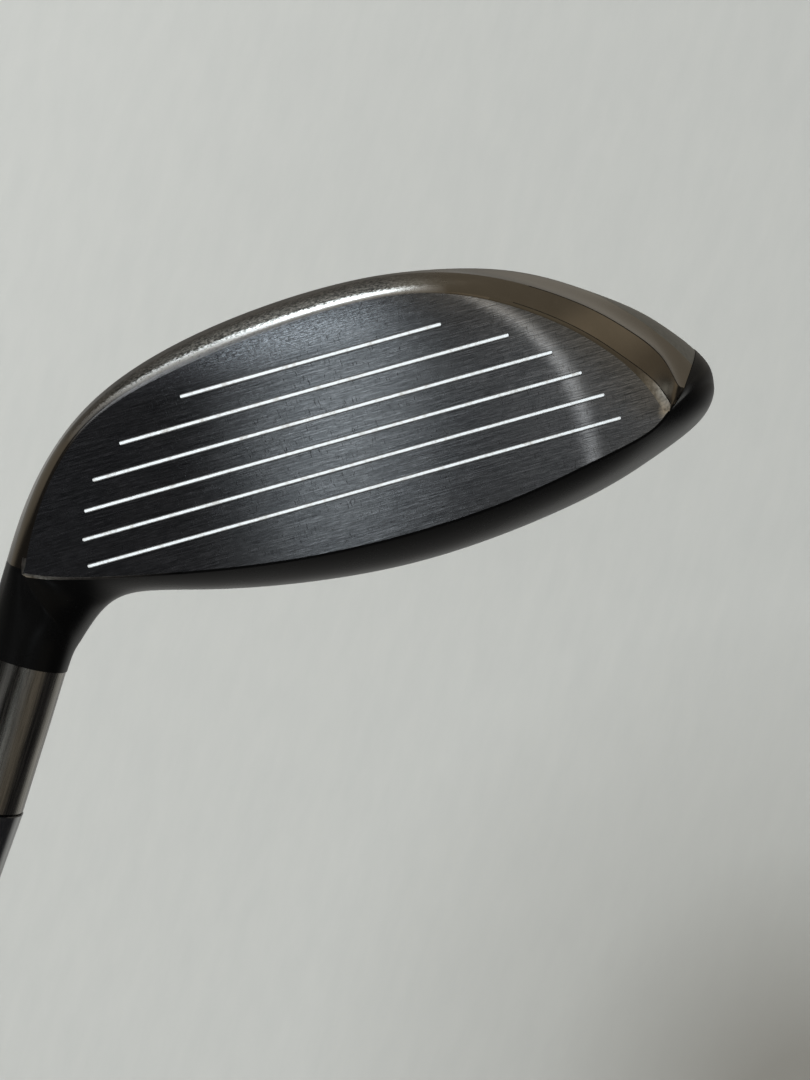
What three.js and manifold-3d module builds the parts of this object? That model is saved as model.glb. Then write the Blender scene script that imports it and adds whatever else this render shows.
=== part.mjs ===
// A right-handed hybrid golf club, built from the pieces a club maker would put together:
// hollow steel head, crown, scored face, filled score lines, shaft, ferrule, grip and sole weight.
//
// Millimetres. The club's frame has the shaft axis along +Z, the butt of the grip at z = 0 and
// the head at the top, face towards -Y and toe towards +X, as the club stands in a bag.
//
// The head is drawn in its own frame, as it sits on the ground at address: +X from heel to toe,
// +Y out of the face, +Z up from the ground. A turned group carries it to the end of the shaft.

import * as THREE from "three";
import { mergeVertices } from "three/addons/utils/BufferGeometryUtils.js";
import Module from "manifold-3d";

const wasm = await Module();
wasm.setup();

const degrees = THREE.MathUtils.degToRad;
const point = (x, y, z) => new THREE.Vector3(x, y, z);

// ---------------------------------------------------------------- driving dimensions

const GAP = 0.3; // clearance between pieces that are cut to fit each other
const FINE_GAP = 0.05; // bond line of a fill or an adhesive
const PAST = 8; // how far a cutting shape runs on past the surface it cuts

const LOFT = degrees(19);
const LIE = degrees(57.5);
const CLUB_LENGTH = 1035; // from the butt to the point where the shaft axis meets the ground

// Hosel. HOSEL_ROOT is a point on the shaft axis in the head frame, and distances up the hosel
// are measured from it towards the grip.
const HOSEL_ROOT = point(-46.8, 0, 29.5);
const HOSEL_RADIUS = 6.4;
const HOSEL_END_RADIUS = 6.0;
const HOSEL_LENGTH = 31;
const HOSEL_STATIONS = [8, 15, 23, HOSEL_LENGTH];
const BORE_RADIUS = 5.0;
const BORE_BOTTOM = -2;

// Face: a lofted surface with bulge from heel to toe and roll from sole to crown.
const LEADING_EDGE = point(0, 18, 4);
const BULGE_RADIUS = 330;
const ROLL_RADIUS = 330;
const FACE_MIDDLE_HEIGHT = 16;
const FACE_THICKNESS = 2.4;
// The face plate's cut: its toe end as x and two heights, and its margin past the face's edges,
// which closes from one place to another along the face towards the heel.
const FACE_CUT_TOE = [52, 18, 34];
const FACE_MARGIN = 6;
const FACE_HEEL_MARGIN = 0.6;
const FACE_MARGIN_CLOSES = [5, 8.9];
const FACE_CUT_FRONT = 12;
const FACE_CUT_STEP = 0.4;

const WALL = 2.1; // towards the middle of each section
const CAVITY_FIRST = 0.65;
const CAVITY_LAST = 9.6;

// Edges of the crown piece: its ends, as stations, and the plane that bounds it at the toe.
const CROWN_TOE_STATION = 2.1;
const CROWN_HEEL_STATION = 9.7;
const TOE_PLANE_NORMAL = point(0.638, -0.048, 0.77).normalize();
const TOE_PLANE_DISTANCE = 50;
const TOE_BLOCK = [80, 120, 40]; // the block beyond the toe plane
const CROWN_REACH = 1.6; // of the crown's cut, as a multiple of the section's own size
const CROWN_LIFT = 13;
const CROWN_STATION_SPACING = 8;

// Score lines, sole to crown: height up the face, heel end and toe end.
const SCORE_LINES = [
  [5.2, -18.8, 17.1],
  [9.1, -28.5, 25.5],
  [13.0, -33.6, 30.7],
  [16.9, -36.1, 34.0],
  [20.8, -37.7, 36.4],
  [24.7, -38.3, 38.0],
];
const SCORE_HALF_WIDTH = 0.36;
const SCORE_DEPTH = 0.5;
const SCORE_STEP = 6;
const SCORE_END_ANGLES = [15, 40, 65];
const FILL_BELOW_FACE = 0.06;

// Sole weight: a large button screw in a blind port, with a washer under its head.
const WEIGHT_STATION = 6.2;
const WEIGHT_RING_PLACE = 2.55; // between the rim (2) and the keel (3)
const PORT_RADIUS = 8.0;
const PORT_DEPTH = 6.0;
const PORT_BOSS_RADIUS = 10.2;
const PORT_BOSS_DEPTH = 14.5;
const PILOT_RADIUS = 3.3;
const PILOT_DEPTH = 13;
const SCREW_HEAD_RADIUS = 7.6;
const SCREW_HEAD_TOP = -0.7;
const SCREW_HEAD_HEIGHT = 4.0;
const SCREW_STEM_RADIUS = 2.95;
const SCREW_STEM_LENGTH = 7.0;
const SCREW_DRIVE_RADIUS = 2.6;
const SCREW_DRIVE_DEPTH = 2.6;
const SCREW_DRIVE_LOBE = 0.14; // depth of the six lobes, as a share of the drive's radius
const SCREW_CHAMFER = 0.6;
const WASHER_THICKNESS = 0.8;
const WASHER_OUTER_RADIUS = 7.2;

// Resin puddle: an ellipsoid that lies on the inside of the sole near the heel.
const RESIN_CENTRE = point(-18, -8, 2);
const RESIN_RADII = [12, 9, 4];

// Shaft, outside and inside radii from the butt to the tip.
const SHAFT_BUTT_Z = 6;
const SHAFT_TIP_UP_HOSEL = 0.5; // the tip stops this far short of the hosel root
const SHAFT_BUTT_RADIUS = 7.6;
const SHAFT_TIP_RADIUS = 4.7;
const SHAFT_BUTT_WALL = 1.3;
const SHAFT_TIP_WALL = 1.8;
const SHAFT_PARALLEL_BUTT = 140; // length of the parallel stretch under the grip
const SHAFT_PARALLEL_TIP = 110;
const CORK_LENGTH = 10;
const TIP_WEIGHT_LENGTH = 22;
const TIP_WEIGHT_START = 4; // from the shaft tip
const ADHESIVE_SHORT = 1; // the adhesive stops this far inside the mouth of the hosel

// Ferrule.
const FERRULE_LENGTH = 24;
const FERRULE_END_RADIUS = 4.95;
const FERRULE_BORE_GAP = 0.08;
const FERRULE_SWELL = 1.4; // exponent of the swell from the shaft to the neck
const FERRULE_STEPS = 5;

// Grip.
const GRIP_LENGTH = 270;
const GRIP_MOUTH_RADIUS = 8.3;
const GRIP_PROFILE = [
  [12.5, 30],
  [11.6, 75],
  [10.4, 150],
  [9.2, 220],
];
const GRIP_START_RADIUS = 13.4;
const GRIP_STEPS = 12;
const GRIP_CAP_RADIUS = 16;
const GRIP_CAP_HEIGHT = 5;
const GRIP_CAP_EDGE = 2;
const GRIP_VENT_RADIUS = 1.5;
const TAPE_THICKNESS = 0.2;
const TAPE_SHORT = [2, 5]; // how far the tape stops inside the butt and the mouth of the grip
const GRIP_CLEARANCE = 0.1;

const ROUND = 36; // segments round a turned piece
const CURVE_PASSES = 40; // rounds of relaxation that settle the slopes of a smooth curve

const FACE_NORMAL = point(0, Math.cos(LOFT), Math.sin(LOFT));
const FACE_UP = point(0, -Math.sin(LOFT), Math.cos(LOFT));
const HOSEL_DIRECTION = point(-Math.cos(LIE), 0, Math.sin(LIE));
const HOSEL_INNER_SIDE = point(Math.sin(LIE), 0, Math.cos(LIE));
const HEAD_Z = CLUB_LENGTH - HOSEL_ROOT.z / Math.sin(LIE); // the hosel root in the club's frame
const SHAFT_TIP_Z = HEAD_Z - SHAFT_TIP_UP_HOSEL;
const HOSEL_END_Z = HEAD_Z - HOSEL_LENGTH;

// ---------------------------------------------------------------- guide curves of the head
//
// The head's skin is a family of closed sections, from the toe tip round the head and up the
// hosel. Station 0 is the toe tip, 2 the toe corner of the face, 11 its heel corner, and the
// stations after that are rings of the hosel. Each guide has one point at each station.

const TOE_CORNER = 2;
const HEEL_CORNER = 11;
const TOE_TIP = point(54.9, -9, 26.4);
const TOE_FRONT = point(51, 1.2, 26.1);
const TOE_REAR = point(52.9, -13.5, 29); // across the toe tip from the leading crease

// Edges of the face, as (x, height up the face), from the toe corner to the heel corner.
const FACE_CROWN_EDGE = [
  [44.9, 25.7],
  [41, 28.2],
  [32, 30.2],
  [20, 32.2],
  [4, 32.9],
  [-12, 31.8],
  [-26, 29.4],
  [-37.4, 26.8],
  [-44, 24.8],
  [-47.4, 23.2],
];
const FACE_SOLE_EDGE = [
  [44.9, 25.7],
  [42.9, 21.0],
  [38.4, 14.9],
  [30.2, 7.4],
  [16, 0.3],
  [-2, -0.7],
  [-20, 1.5],
  [-33.3, 6.1],
  [-42.5, 15.2],
  [-47.4, 23.2],
];

const CROWN_RIDGE = [
  TOE_TIP,
  point(52.8, -8.5, 29.9),
  point(48.9, -8, 32.3),
  point(42.3, -8, 34.8),
  point(33, -8, 37.4),
  point(19, -8, 39.4),
  point(4, -8, 39.9),
  point(-11, -8, 38.4),
  point(-24, -7, 35.7),
  point(-34, -5, 33.1),
  point(-39.8, -3, 34),
  point(-43.7, -1, 37.3),
];
const RIM = [
  TOE_TIP,
  point(52.5, -17.5, 26),
  point(47, -26.5, 25),
  point(39.5, -33.5, 23.5),
  point(30.5, -38.5, 21.8),
  point(18.5, -42, 20),
  point(4, -43.5, 18.6),
  point(-11, -41.5, 18),
  point(-25, -35.5, 18.8),
  point(-36.5, -26, 21.2),
  point(-44, -16, 25.2),
  point(-49.3, -8.8, 30.8),
];
const KEEL = [
  TOE_TIP,
  point(53.8, -7.5, 22),
  point(50.3, -4, 18),
  point(45.8, -3, 13.4),
  point(39, -3, 8.3),
  point(28.5, -3, 2.6),
  point(13, -3, -0.9),
  point(-4, -3, -1.2),
  point(-20.5, -3, 1),
  point(-34, -3, 5.9),
  point(-44.5, -2.5, 14.9),
  point(-51.3, -1, 24.8),
];
const LEADING_CREASE = [
  TOE_TIP,
  point(52.8, -1.5, 23.6),
  point(47.6, 6.4, 25.7),
  point(45.7, 8.3, 21.4),
  point(41.3, 9.9, 15.6),
  point(33.5, 12.3, 9.2),
  point(17.8, 14.3, 1.9),
  point(-2.4, 14.7, 0.6),
  point(-20.3, 14.2, 3),
  point(-34.2, 12.2, 8.6),
  point(-43.4, 8.6, 16.8),
  point(-49.4, 5.6, 25),
];
// How sharp the leading crease is at each station, from 0, smooth, to 1, a crease.
const CREASE_SHARPNESS = [0, 0, 0.6, 1, 1, 1, 0.5, 0, 0, 0, 0, 0];

const hoselCentre = (up) => HOSEL_ROOT.clone().addScaledVector(HOSEL_DIRECTION, up);
const hoselRadius = (up) =>
  THREE.MathUtils.mapLinear(up, 0, HOSEL_LENGTH, HOSEL_RADIUS, HOSEL_END_RADIUS);

// A point of the hosel's ring: angle 0 faces out of the face, a quarter turn the inner side.
function hoselPoint(up, angle, radius = hoselRadius(up)) {
  return hoselCentre(up)
    .addScaledVector(point(0, 1, 0), radius * Math.cos(angle))
    .addScaledVector(HOSEL_INNER_SIDE, radius * Math.sin(angle));
}

// A point on the face, or beside it: x across, height up the face, and out along its normal.
// Bulge and roll draw it back along Y alone, so score lines stay level.
function facePoint(x, height, out) {
  const sag =
    x ** 2 / (2 * BULGE_RADIUS) + (height - FACE_MIDDLE_HEIGHT) ** 2 / (2 * ROLL_RADIUS);
  return LEADING_EDGE.clone()
    .add(point(x, -sag, 0))
    .addScaledVector(FACE_UP, height)
    .addScaledVector(FACE_NORMAL, out);
}

// A curve through points at whole-number places, with continuous curvature, as a function of
// the place. The ends are free, or leave the first point along a given slope.
function splineThrough(points, firstSlope = null) {
  const last = points.length - 1;
  const slopes = points.map((p, i) =>
    points[Math.min(i + 1, last)].clone().sub(points[Math.max(i - 1, 0)]).multiplyScalar(0.5),
  );
  for (let pass = 0; pass < CURVE_PASSES; pass++)
    for (let i = 0; i <= last; i++) {
      if (i === 0 && firstSlope) slopes[0].copy(firstSlope);
      else if (i === 0)
        slopes[0].copy(points[1]).sub(points[0]).multiplyScalar(3).sub(slopes[1]).divideScalar(2);
      else if (i === last)
        slopes[i]
          .copy(points[i])
          .sub(points[i - 1])
          .multiplyScalar(3)
          .sub(slopes[i - 1])
          .divideScalar(2);
      else
        slopes[i]
          .copy(points[i + 1])
          .sub(points[i - 1])
          .multiplyScalar(3)
          .sub(slopes[i - 1])
          .sub(slopes[i + 1])
          .divideScalar(4);
    }
  return (place) => {
    const i = Math.min(Math.floor(place), last - 1);
    return hermite(points[i], slopes[i], points[i + 1], slopes[i + 1], place - i);
  };
}

function hermite(start, startSlope, end, endSlope, t) {
  return start
    .clone()
    .multiplyScalar(1 - 3 * t ** 2 + 2 * t ** 3)
    .addScaledVector(startSlope, t - 2 * t ** 2 + t ** 3)
    .addScaledVector(end, 3 * t ** 2 - 2 * t ** 3)
    .addScaledVector(endSlope, t ** 3 - t ** 2);
}

// A guide of the skin: its head points, then a ring point at each hosel station. At the toe tip
// it runs on into the guide of the opposite side, which keeps the tip round.
function skinGuide(headPoints, hoselAngle, opposite) {
  const rings = HOSEL_STATIONS.map((up) => hoselPoint(up, hoselAngle));
  const slope = headPoints[1].clone().sub(opposite).multiplyScalar(0.5);
  return splineThrough([...headPoints, ...rings], slope);
}

const crownRidge = skinGuide(CROWN_RIDGE, Math.PI / 2, KEEL[1]);
const rim = skinGuide(RIM, Math.PI, TOE_FRONT);
const keel = skinGuide(KEEL, -Math.PI / 2, CROWN_RIDGE[1]);
const leadingCrease = skinGuide(LEADING_CREASE, -Math.PI / 4, TOE_REAR);

const flat = ([x, height]) => point(x, height, 0);
const faceCrownEdge = splineThrough(FACE_CROWN_EDGE.map(flat));
const faceSoleEdge = splineThrough(FACE_SOLE_EDGE.map(flat));
const onFace = (p) => facePoint(p.x, p.y, 0);
const toeCorner = onFace(flat(FACE_CROWN_EDGE[0]));
const heelCorner = onFace(flat(FACE_CROWN_EDGE.at(-1)));
const toeFront = splineThrough(
  [TOE_TIP, TOE_FRONT, toeCorner],
  TOE_FRONT.clone().sub(RIM[1]).multiplyScalar(0.5),
);
const hoselFront = splineThrough([heelCorner, ...HOSEL_STATIONS.map((up) => hoselPoint(up, 0))]);

// ---------------------------------------------------------------- sections of the head

const direction = (from, to) => to.clone().sub(from).normalize();
const mixed = (a, b, share) => a.clone().lerp(b, share).normalize();

// The direction at one end of a round arc that has the given direction at its other end.
function arcDirection(known, from, to) {
  const chord = direction(from, to);
  return chord.multiplyScalar(2 * chord.dot(known)).sub(known).normalize();
}

// An arc between two points with the given directions, exact where they belong to a circle.
// fullness under 1 at an end tightens the bend there.
function arc(start, startDirection, end, endDirection, steps, startFullness, endFullness) {
  const turn = Math.acos(THREE.MathUtils.clamp(startDirection.dot(endDirection), -1, 1));
  const length = start.distanceTo(end) / Math.cos(turn / 4) ** 2;
  const startSlope = startDirection.clone().multiplyScalar(length * startFullness);
  const endSlope = endDirection.clone().multiplyScalar(length * endFullness);
  return Array.from({ length: steps }, (_, i) =>
    hermite(start, startSlope, end, endSlope, i / steps),
  );
}

const SECTION_STEPS = [6, 9, 8, 4, 4]; // edge to ridge, to rim, to keel, to crease, to edge
const FACE_STEPS = 5;
const RIM_FULLNESS = 0.5;
const RIDGE_FULLNESS = 0.85;
const FACE_OPENING = 15; // a section is fully open at the face where its edges are this far apart

// The guide points of one section, from the crown edge of the face round to its sole edge.
function sectionKeys(station) {
  let crownEdge;
  let soleEdge;
  if (station <= TOE_CORNER) crownEdge = soleEdge = toeFront(station);
  else if (station >= HEEL_CORNER) crownEdge = soleEdge = hoselFront(station - HEEL_CORNER);
  else {
    crownEdge = onFace(faceCrownEdge(station - TOE_CORNER));
    soleEdge = onFace(faceSoleEdge(station - TOE_CORNER));
  }
  return {
    crownEdge,
    ridge: crownRidge(station),
    rim: rim(station),
    keel: keel(station),
    crease: leadingCrease(station),
    soleEdge,
  };
}

function creaseSharpness(station) {
  const i = Math.floor(station);
  const here = CREASE_SHARPNESS[i] ?? 0;
  const next = CREASE_SHARPNESS[i + 1] ?? 0;
  return THREE.MathUtils.lerp(here, next, station - i);
}

// One closed section as a list of points: crown, rim, sole, leading edge, then up the face.
function section(station) {
  const keys = sectionKeys(station);
  const open = Math.min(1, keys.crownEdge.distanceTo(keys.soleEdge) / FACE_OPENING);
  const rimFullness = THREE.MathUtils.lerp(1, RIM_FULLNESS, open);
  const ridgeFullness = THREE.MathUtils.lerp(1, RIDGE_FULLNESS, open);
  const sharp = creaseSharpness(station);

  const back = point(0, -1, 0);
  const forward = point(0, 1, 0);
  const down = direction(keys.ridge, keys.keel);
  const alongCrease = direction(keys.keel, keys.soleEdge);
  const intoCrease = mixed(alongCrease, direction(keys.keel, keys.crease), sharp);
  const outOfCrease = mixed(alongCrease, direction(keys.crease, keys.soleEdge), sharp);
  const start = arcDirection(back, keys.crownEdge, keys.ridge);
  const end = arcDirection(outOfCrease, keys.crease, keys.soleEdge);

  const [n1, n2, n3, n4, n5] = SECTION_STEPS;
  return [
    ...arc(keys.crownEdge, start, keys.ridge, back, n1, 1, 1),
    ...arc(keys.ridge, back, keys.rim, down, n2, ridgeFullness, rimFullness),
    ...arc(keys.rim, down, keys.keel, forward, n3, rimFullness, ridgeFullness),
    ...arc(keys.keel, forward, keys.crease, intoCrease, n4, 1, 1),
    ...arc(keys.crease, outOfCrease, keys.soleEdge, end, n5, 1, 1),
    ...faceRun(station, keys.soleEdge),
  ];
}

// The part of a section that lies on the face, from the sole edge up to the crown edge.
function faceRun(station, front) {
  return Array.from({ length: FACE_STEPS }, (_, i) => {
    if (station <= TOE_CORNER || station >= HEEL_CORNER) return front.clone();
    const low = faceSoleEdge(station - TOE_CORNER);
    const high = faceCrownEdge(station - TOE_CORNER);
    return onFace(low.lerp(high, i / FACE_STEPS));
  });
}

const middleOf = (ring) =>
  ring.reduce((sum, p) => sum.add(p), point(0, 0, 0)).divideScalar(ring.length);

// ---------------------------------------------------------------- solids

// A closed solid from a triangle soup, in whichever winding it comes.
function solidOf(geometry) {
  const bare = geometry.index ? geometry.toNonIndexed() : geometry.clone();
  bare.deleteAttribute("normal");
  bare.deleteAttribute("uv");
  const merged = mergeVertices(bare, 1e-4);
  const corners = merged.index.array;
  const kept = [];
  for (let i = 0; i < corners.length; i += 3) {
    const [a, b, c] = corners.slice(i, i + 3);
    if (a !== b && b !== c && c !== a) kept.push(a, b, c);
  }
  const make = (triVerts) =>
    new wasm.Manifold(
      new wasm.Mesh({
        numProp: 3,
        vertProperties: new Float32Array(merged.attributes.position.array),
        triVerts: new Uint32Array(triVerts),
      }),
    );
  const solid = make(kept);
  return solid.volume() > 0 ? solid : make(kept.reverse());
}

// A solid through closed sections with equal numbers of points, closed at both ends.
function loft(rings) {
  const corners = [];
  const quad = (a, b, c, d) => corners.push(a, b, c, a, c, d);
  const count = rings[0].length;
  for (let i = 0; i + 1 < rings.length; i++)
    for (let j = 0; j < count; j++) {
      const k = (j + 1) % count;
      quad(rings[i][j], rings[i][k], rings[i + 1][k], rings[i + 1][j]);
    }
  const cap = (ring, turned) => {
    const middle = middleOf(ring);
    for (let j = 0; j < count; j++) {
      const pair = [ring[j], ring[(j + 1) % count]];
      corners.push(middle, ...(turned ? pair.reverse() : pair));
    }
  };
  cap(rings[0], true);
  cap(rings.at(-1), false);
  return solidOf(new THREE.BufferGeometry().setFromPoints(corners));
}

// A solid of revolution about +Z from a closed outline of [radius, z] pairs.
function turned(outline, segments = ROUND) {
  const closed = [...outline, outline[0]].map(([radius, z]) => new THREE.Vector2(radius, z));
  return solidOf(new THREE.LatheGeometry(closed, segments).rotateX(Math.PI / 2));
}

// A plain cylinder between two heights on +Z.
const rod = (radius, from, to) =>
  turned([
    [0, from],
    [radius, from],
    [radius, to],
    [0, to],
  ]);

// A solid moved so that its +Z runs along a direction from a place.
function placed(solid, place, along) {
  const turn = new THREE.Quaternion().setFromUnitVectors(point(0, 0, 1), along);
  const matrix = new THREE.Matrix4().compose(place, turn, point(1, 1, 1));
  return solid.transform(matrix.elements);
}

function meshOf(name, solid, material) {
  const { vertProperties, triVerts } = solid.getMesh();
  const geometry = new THREE.BufferGeometry();
  geometry.setAttribute("position", new THREE.BufferAttribute(vertProperties, 3));
  geometry.setIndex(new THREE.BufferAttribute(triVerts, 1));
  geometry.computeVertexNormals();
  const mesh = new THREE.Mesh(geometry, material);
  mesh.name = name;
  return mesh;
}

const finish = (color, metalness, roughness) =>
  new THREE.MeshStandardMaterial({ color, metalness, roughness });

const materials = {
  polishedSteel: finish("#6b6055", 1, 0.16),
  faceSteel: finish("#54565a", 1, 0.42),
  blackPaint: finish("#0b0b0c", 0, 0.12),
  whiteEnamel: finish("#e9eef2", 0, 0.4),
  blackPlastic: finish("#0a0a0b", 0, 0.15),
  carbon: finish("#17181a", 0, 0.22),
  brass: finish("#b08d4a", 1, 0.35),
  cork: finish("#b98f5e", 0, 0.9),
  adhesive: finish("#b79a63", 0, 0.6),
  gripRubber: finish("#161617", 0, 0.85),
  paperTape: finish("#d8cfb4", 0, 0.9),
  weightSteel: finish("#75726d", 1, 0.3),
  washerRubber: finish("#1b1b1c", 0, 0.8),
};

// ---------------------------------------------------------------- head

const SKIN_STATIONS = [0, 0.3, 0.65, 1, 1.5, 2, 2.5];
for (let station = 3; station <= HEEL_CORNER; station += 0.5) SKIN_STATIONS.push(station);
SKIN_STATIONS.push(11.5, 12, 13, 14, 15);

const wholeHead = loft(SKIN_STATIONS.map(section));

// A section drawn in towards its own middle by a distance.
function insetSection(station, distance) {
  const ring = section(station);
  const middle = middleOf(ring);
  return ring.map((p) => p.addScaledVector(direction(p, middle), distance));
}

function headCavity(inset) {
  const stations = SKIN_STATIONS.filter((s) => s >= CAVITY_FIRST && s < CAVITY_LAST);
  return loft([...stations, CAVITY_LAST].map((station) => insetSection(station, inset)));
}

// The block from a depth behind the face to well in front of it. It reaches past the edges of
// the face by a margin that closes towards the heel, where the hosel stands.
function faceBlock(depth) {
  const steps = 4;
  const ring = (low, high) => {
    const run = Array.from({ length: steps + 1 }, (_, i) => low.clone().lerp(high, i / steps));
    return [
      ...run.map((p) => facePoint(p.x, p.y, -depth)),
      ...run.map((p) => facePoint(p.x, p.y, FACE_CUT_FRONT)).reverse(),
    ];
  };
  const [toe, toeLow, toeHigh] = FACE_CUT_TOE;
  const rings = [ring(point(toe, toeLow, 0), point(toe, toeHigh, 0))];
  const lastPlace = FACE_MARGIN_CLOSES[1];
  for (let place = FACE_CUT_STEP / 2; place < lastPlace; place += FACE_CUT_STEP) {
    const low = faceSoleEdge(place);
    const high = faceCrownEdge(place);
    const out = direction(low, high).multiplyScalar(faceMargin(place));
    rings.push(ring(low.sub(out), high.add(out)));
  }
  const heel = flat(FACE_CROWN_EDGE.at(-1));
  const half = point(0, FACE_HEEL_MARGIN, 0);
  rings.push(ring(heel.clone().sub(half), heel.clone().add(half)));
  return loft(rings);
}

const faceMargin = (place) =>
  THREE.MathUtils.clamp(
    THREE.MathUtils.mapLinear(place, ...FACE_MARGIN_CLOSES, FACE_MARGIN, FACE_HEEL_MARGIN),
    FACE_HEEL_MARGIN,
    FACE_MARGIN,
  );

// Everything on the crown's side of the seam along the rim, and beyond the toe plane.
function crownRegion(growth) {
  const endGrowth = growth / CROWN_STATION_SPACING;
  const stations = [CROWN_TOE_STATION - endGrowth];
  for (let station = 2.5; station < CROWN_HEEL_STATION; station += 0.5) stations.push(station);
  stations.push(CROWN_HEEL_STATION + endGrowth);
  const wedge = loft(
    stations.map((station) => {
      const keys = sectionKeys(station);
      const middle = middleOf(section(station));
      const down = direction(keys.ridge, keys.keel).multiplyScalar(growth);
      const outward = (p) => middle.clone().lerp(p, CROWN_REACH);
      const lift = point(0, 0, CROWN_LIFT);
      const low = middle.clone().add(down);
      return [
        low,
        outward(keys.crownEdge.clone().add(down)),
        outward(keys.ridge).add(lift),
        outward(keys.rim.clone().add(down)).add(lift),
        outward(keys.rim.clone().add(down)),
      ];
    }),
  );
  const blockMiddle = TOE_PLANE_DISTANCE - growth + TOE_BLOCK[2] / 2;
  const block = placed(
    solidOf(new THREE.BoxGeometry(...TOE_BLOCK)),
    TOE_PLANE_NORMAL.clone().multiplyScalar(blockMiddle),
    TOE_PLANE_NORMAL,
  );
  return wedge.add(block);
}

// Where the weight port is, and the outward direction of the sole there.
function weightPort() {
  const at = (station, place) => {
    const ring = section(station);
    const before = SECTION_STEPS[0] + SECTION_STEPS[1];
    const index = before + (place - 2) * SECTION_STEPS[2];
    const low = Math.floor(index);
    return ring[low].clone().lerp(ring[low + 1], index - low);
  };
  const place = at(WEIGHT_STATION, WEIGHT_RING_PLACE);
  const step = 0.15;
  const along = direction(
    at(WEIGHT_STATION - step, WEIGHT_RING_PLACE),
    at(WEIGHT_STATION + step, WEIGHT_RING_PLACE),
  );
  const round = direction(
    at(WEIGHT_STATION, WEIGHT_RING_PLACE - step),
    at(WEIGHT_STATION, WEIGHT_RING_PLACE + step),
  );
  const outward = along.cross(round).normalize();
  if (outward.z > 0) outward.negate();
  return { place, outward };
}

const port = weightPort();
const inPort = (solid) => placed(solid, port.place, port.outward);

function headCasting() {
  const boss = inPort(rod(PORT_BOSS_RADIUS, -PORT_BOSS_DEPTH, PAST)).intersect(wholeHead);
  const bore = placed(
    rod(BORE_RADIUS, BORE_BOTTOM, HOSEL_LENGTH + PAST),
    HOSEL_ROOT,
    HOSEL_DIRECTION,
  );
  return wholeHead
    .subtract(headCavity(WALL))
    .subtract(crownRegion(GAP))
    .add(boss)
    .subtract(faceBlock(FACE_THICKNESS + GAP))
    .subtract(inPort(rod(PORT_RADIUS, -PORT_DEPTH, PAST)))
    .subtract(inPort(rod(PILOT_RADIUS, -PILOT_DEPTH, PAST)))
    .subtract(bore);
}

function crownPlate() {
  return wholeHead
    .subtract(headCavity(WALL))
    .intersect(crownRegion(0))
    .subtract(faceBlock(FACE_THICKNESS + GAP));
}

// A bar that follows the face along one score line, with round ends, drawn in by an inset.
function scoreBar([height, heelEnd, toeEnd], inset, top, bottom) {
  const half = SCORE_HALF_WIDTH - inset;
  const ring = (x, halfWidth) => [
    facePoint(x, height - halfWidth, bottom),
    facePoint(x, height + halfWidth, bottom),
    facePoint(x, height + halfWidth, top),
    facePoint(x, height - halfWidth, top),
  ];
  const first = heelEnd + SCORE_HALF_WIDTH;
  const last = toeEnd - SCORE_HALF_WIDTH;
  const ends = SCORE_END_ANGLES.map(degrees);
  const pieces = Math.ceil((last - first) / SCORE_STEP);
  const straight = Array.from({ length: pieces + 1 }, (_, i) =>
    ring(THREE.MathUtils.lerp(first, last, i / pieces), half),
  );
  return loft([
    ...ends.map((angle) => ring(first - half * Math.cos(angle), half * Math.sin(angle))),
    ...straight,
    ...ends.reverse().map((angle) => ring(last + half * Math.cos(angle), half * Math.sin(angle))),
  ]);
}

function facePlate() {
  const plate = wholeHead.intersect(faceBlock(FACE_THICKNESS));
  return SCORE_LINES.reduce(
    (solid, line) => solid.subtract(scoreBar(line, 0, PAST, -SCORE_DEPTH)),
    plate,
  );
}

const scoreFill = (line) =>
  scoreBar(line, FINE_GAP, -FILL_BELOW_FACE, FINE_GAP - SCORE_DEPTH);

function weightScrew() {
  const shoulder = SCREW_HEAD_TOP - SCREW_HEAD_HEIGHT;
  const stemEnd = shoulder - SCREW_STEM_LENGTH;
  const screw = turned([
    [0, stemEnd],
    [SCREW_STEM_RADIUS - SCREW_CHAMFER, stemEnd],
    [SCREW_STEM_RADIUS, stemEnd + SCREW_CHAMFER],
    [SCREW_STEM_RADIUS, shoulder],
    [SCREW_HEAD_RADIUS, shoulder],
    [SCREW_HEAD_RADIUS, SCREW_HEAD_TOP - SCREW_CHAMFER],
    [SCREW_HEAD_RADIUS - SCREW_CHAMFER, SCREW_HEAD_TOP],
    [0, SCREW_HEAD_TOP],
  ]);
  // Six-lobed drive recess.
  const lobe = (angle) => SCREW_DRIVE_RADIUS * (1 + SCREW_DRIVE_LOBE * Math.cos(6 * angle));
  const outline = Array.from({ length: ROUND }, (_, i) => {
    const angle = (i / ROUND) * 2 * Math.PI;
    return new THREE.Vector2(lobe(angle) * Math.cos(angle), lobe(angle) * Math.sin(angle));
  });
  const recess = new THREE.ExtrudeGeometry(new THREE.Shape(outline), {
    depth: SCREW_DRIVE_DEPTH + PAST,
    bevelEnabled: false,
  }).translate(0, 0, SCREW_HEAD_TOP - SCREW_DRIVE_DEPTH);
  return inPort(screw.subtract(solidOf(recess)));
}

function weightWasher() {
  const bottom = -PORT_DEPTH + GAP;
  return inPort(
    turned([
      [SCREW_STEM_RADIUS + GAP, bottom],
      [WASHER_OUTER_RADIUS, bottom],
      [WASHER_OUTER_RADIUS, bottom + WASHER_THICKNESS],
      [SCREW_STEM_RADIUS + GAP, bottom + WASHER_THICKNESS],
    ]),
  );
}

// Tacky resin poured into the head, which lies on the inside of the sole near the heel.
function debrisResin() {
  const puddle = new THREE.SphereGeometry(1, 24, 14)
    .scale(...RESIN_RADII)
    .translate(...RESIN_CENTRE.toArray());
  return solidOf(puddle).intersect(headCavity(WALL + GAP));
}

// ---------------------------------------------------------------- shaft and grip

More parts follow.
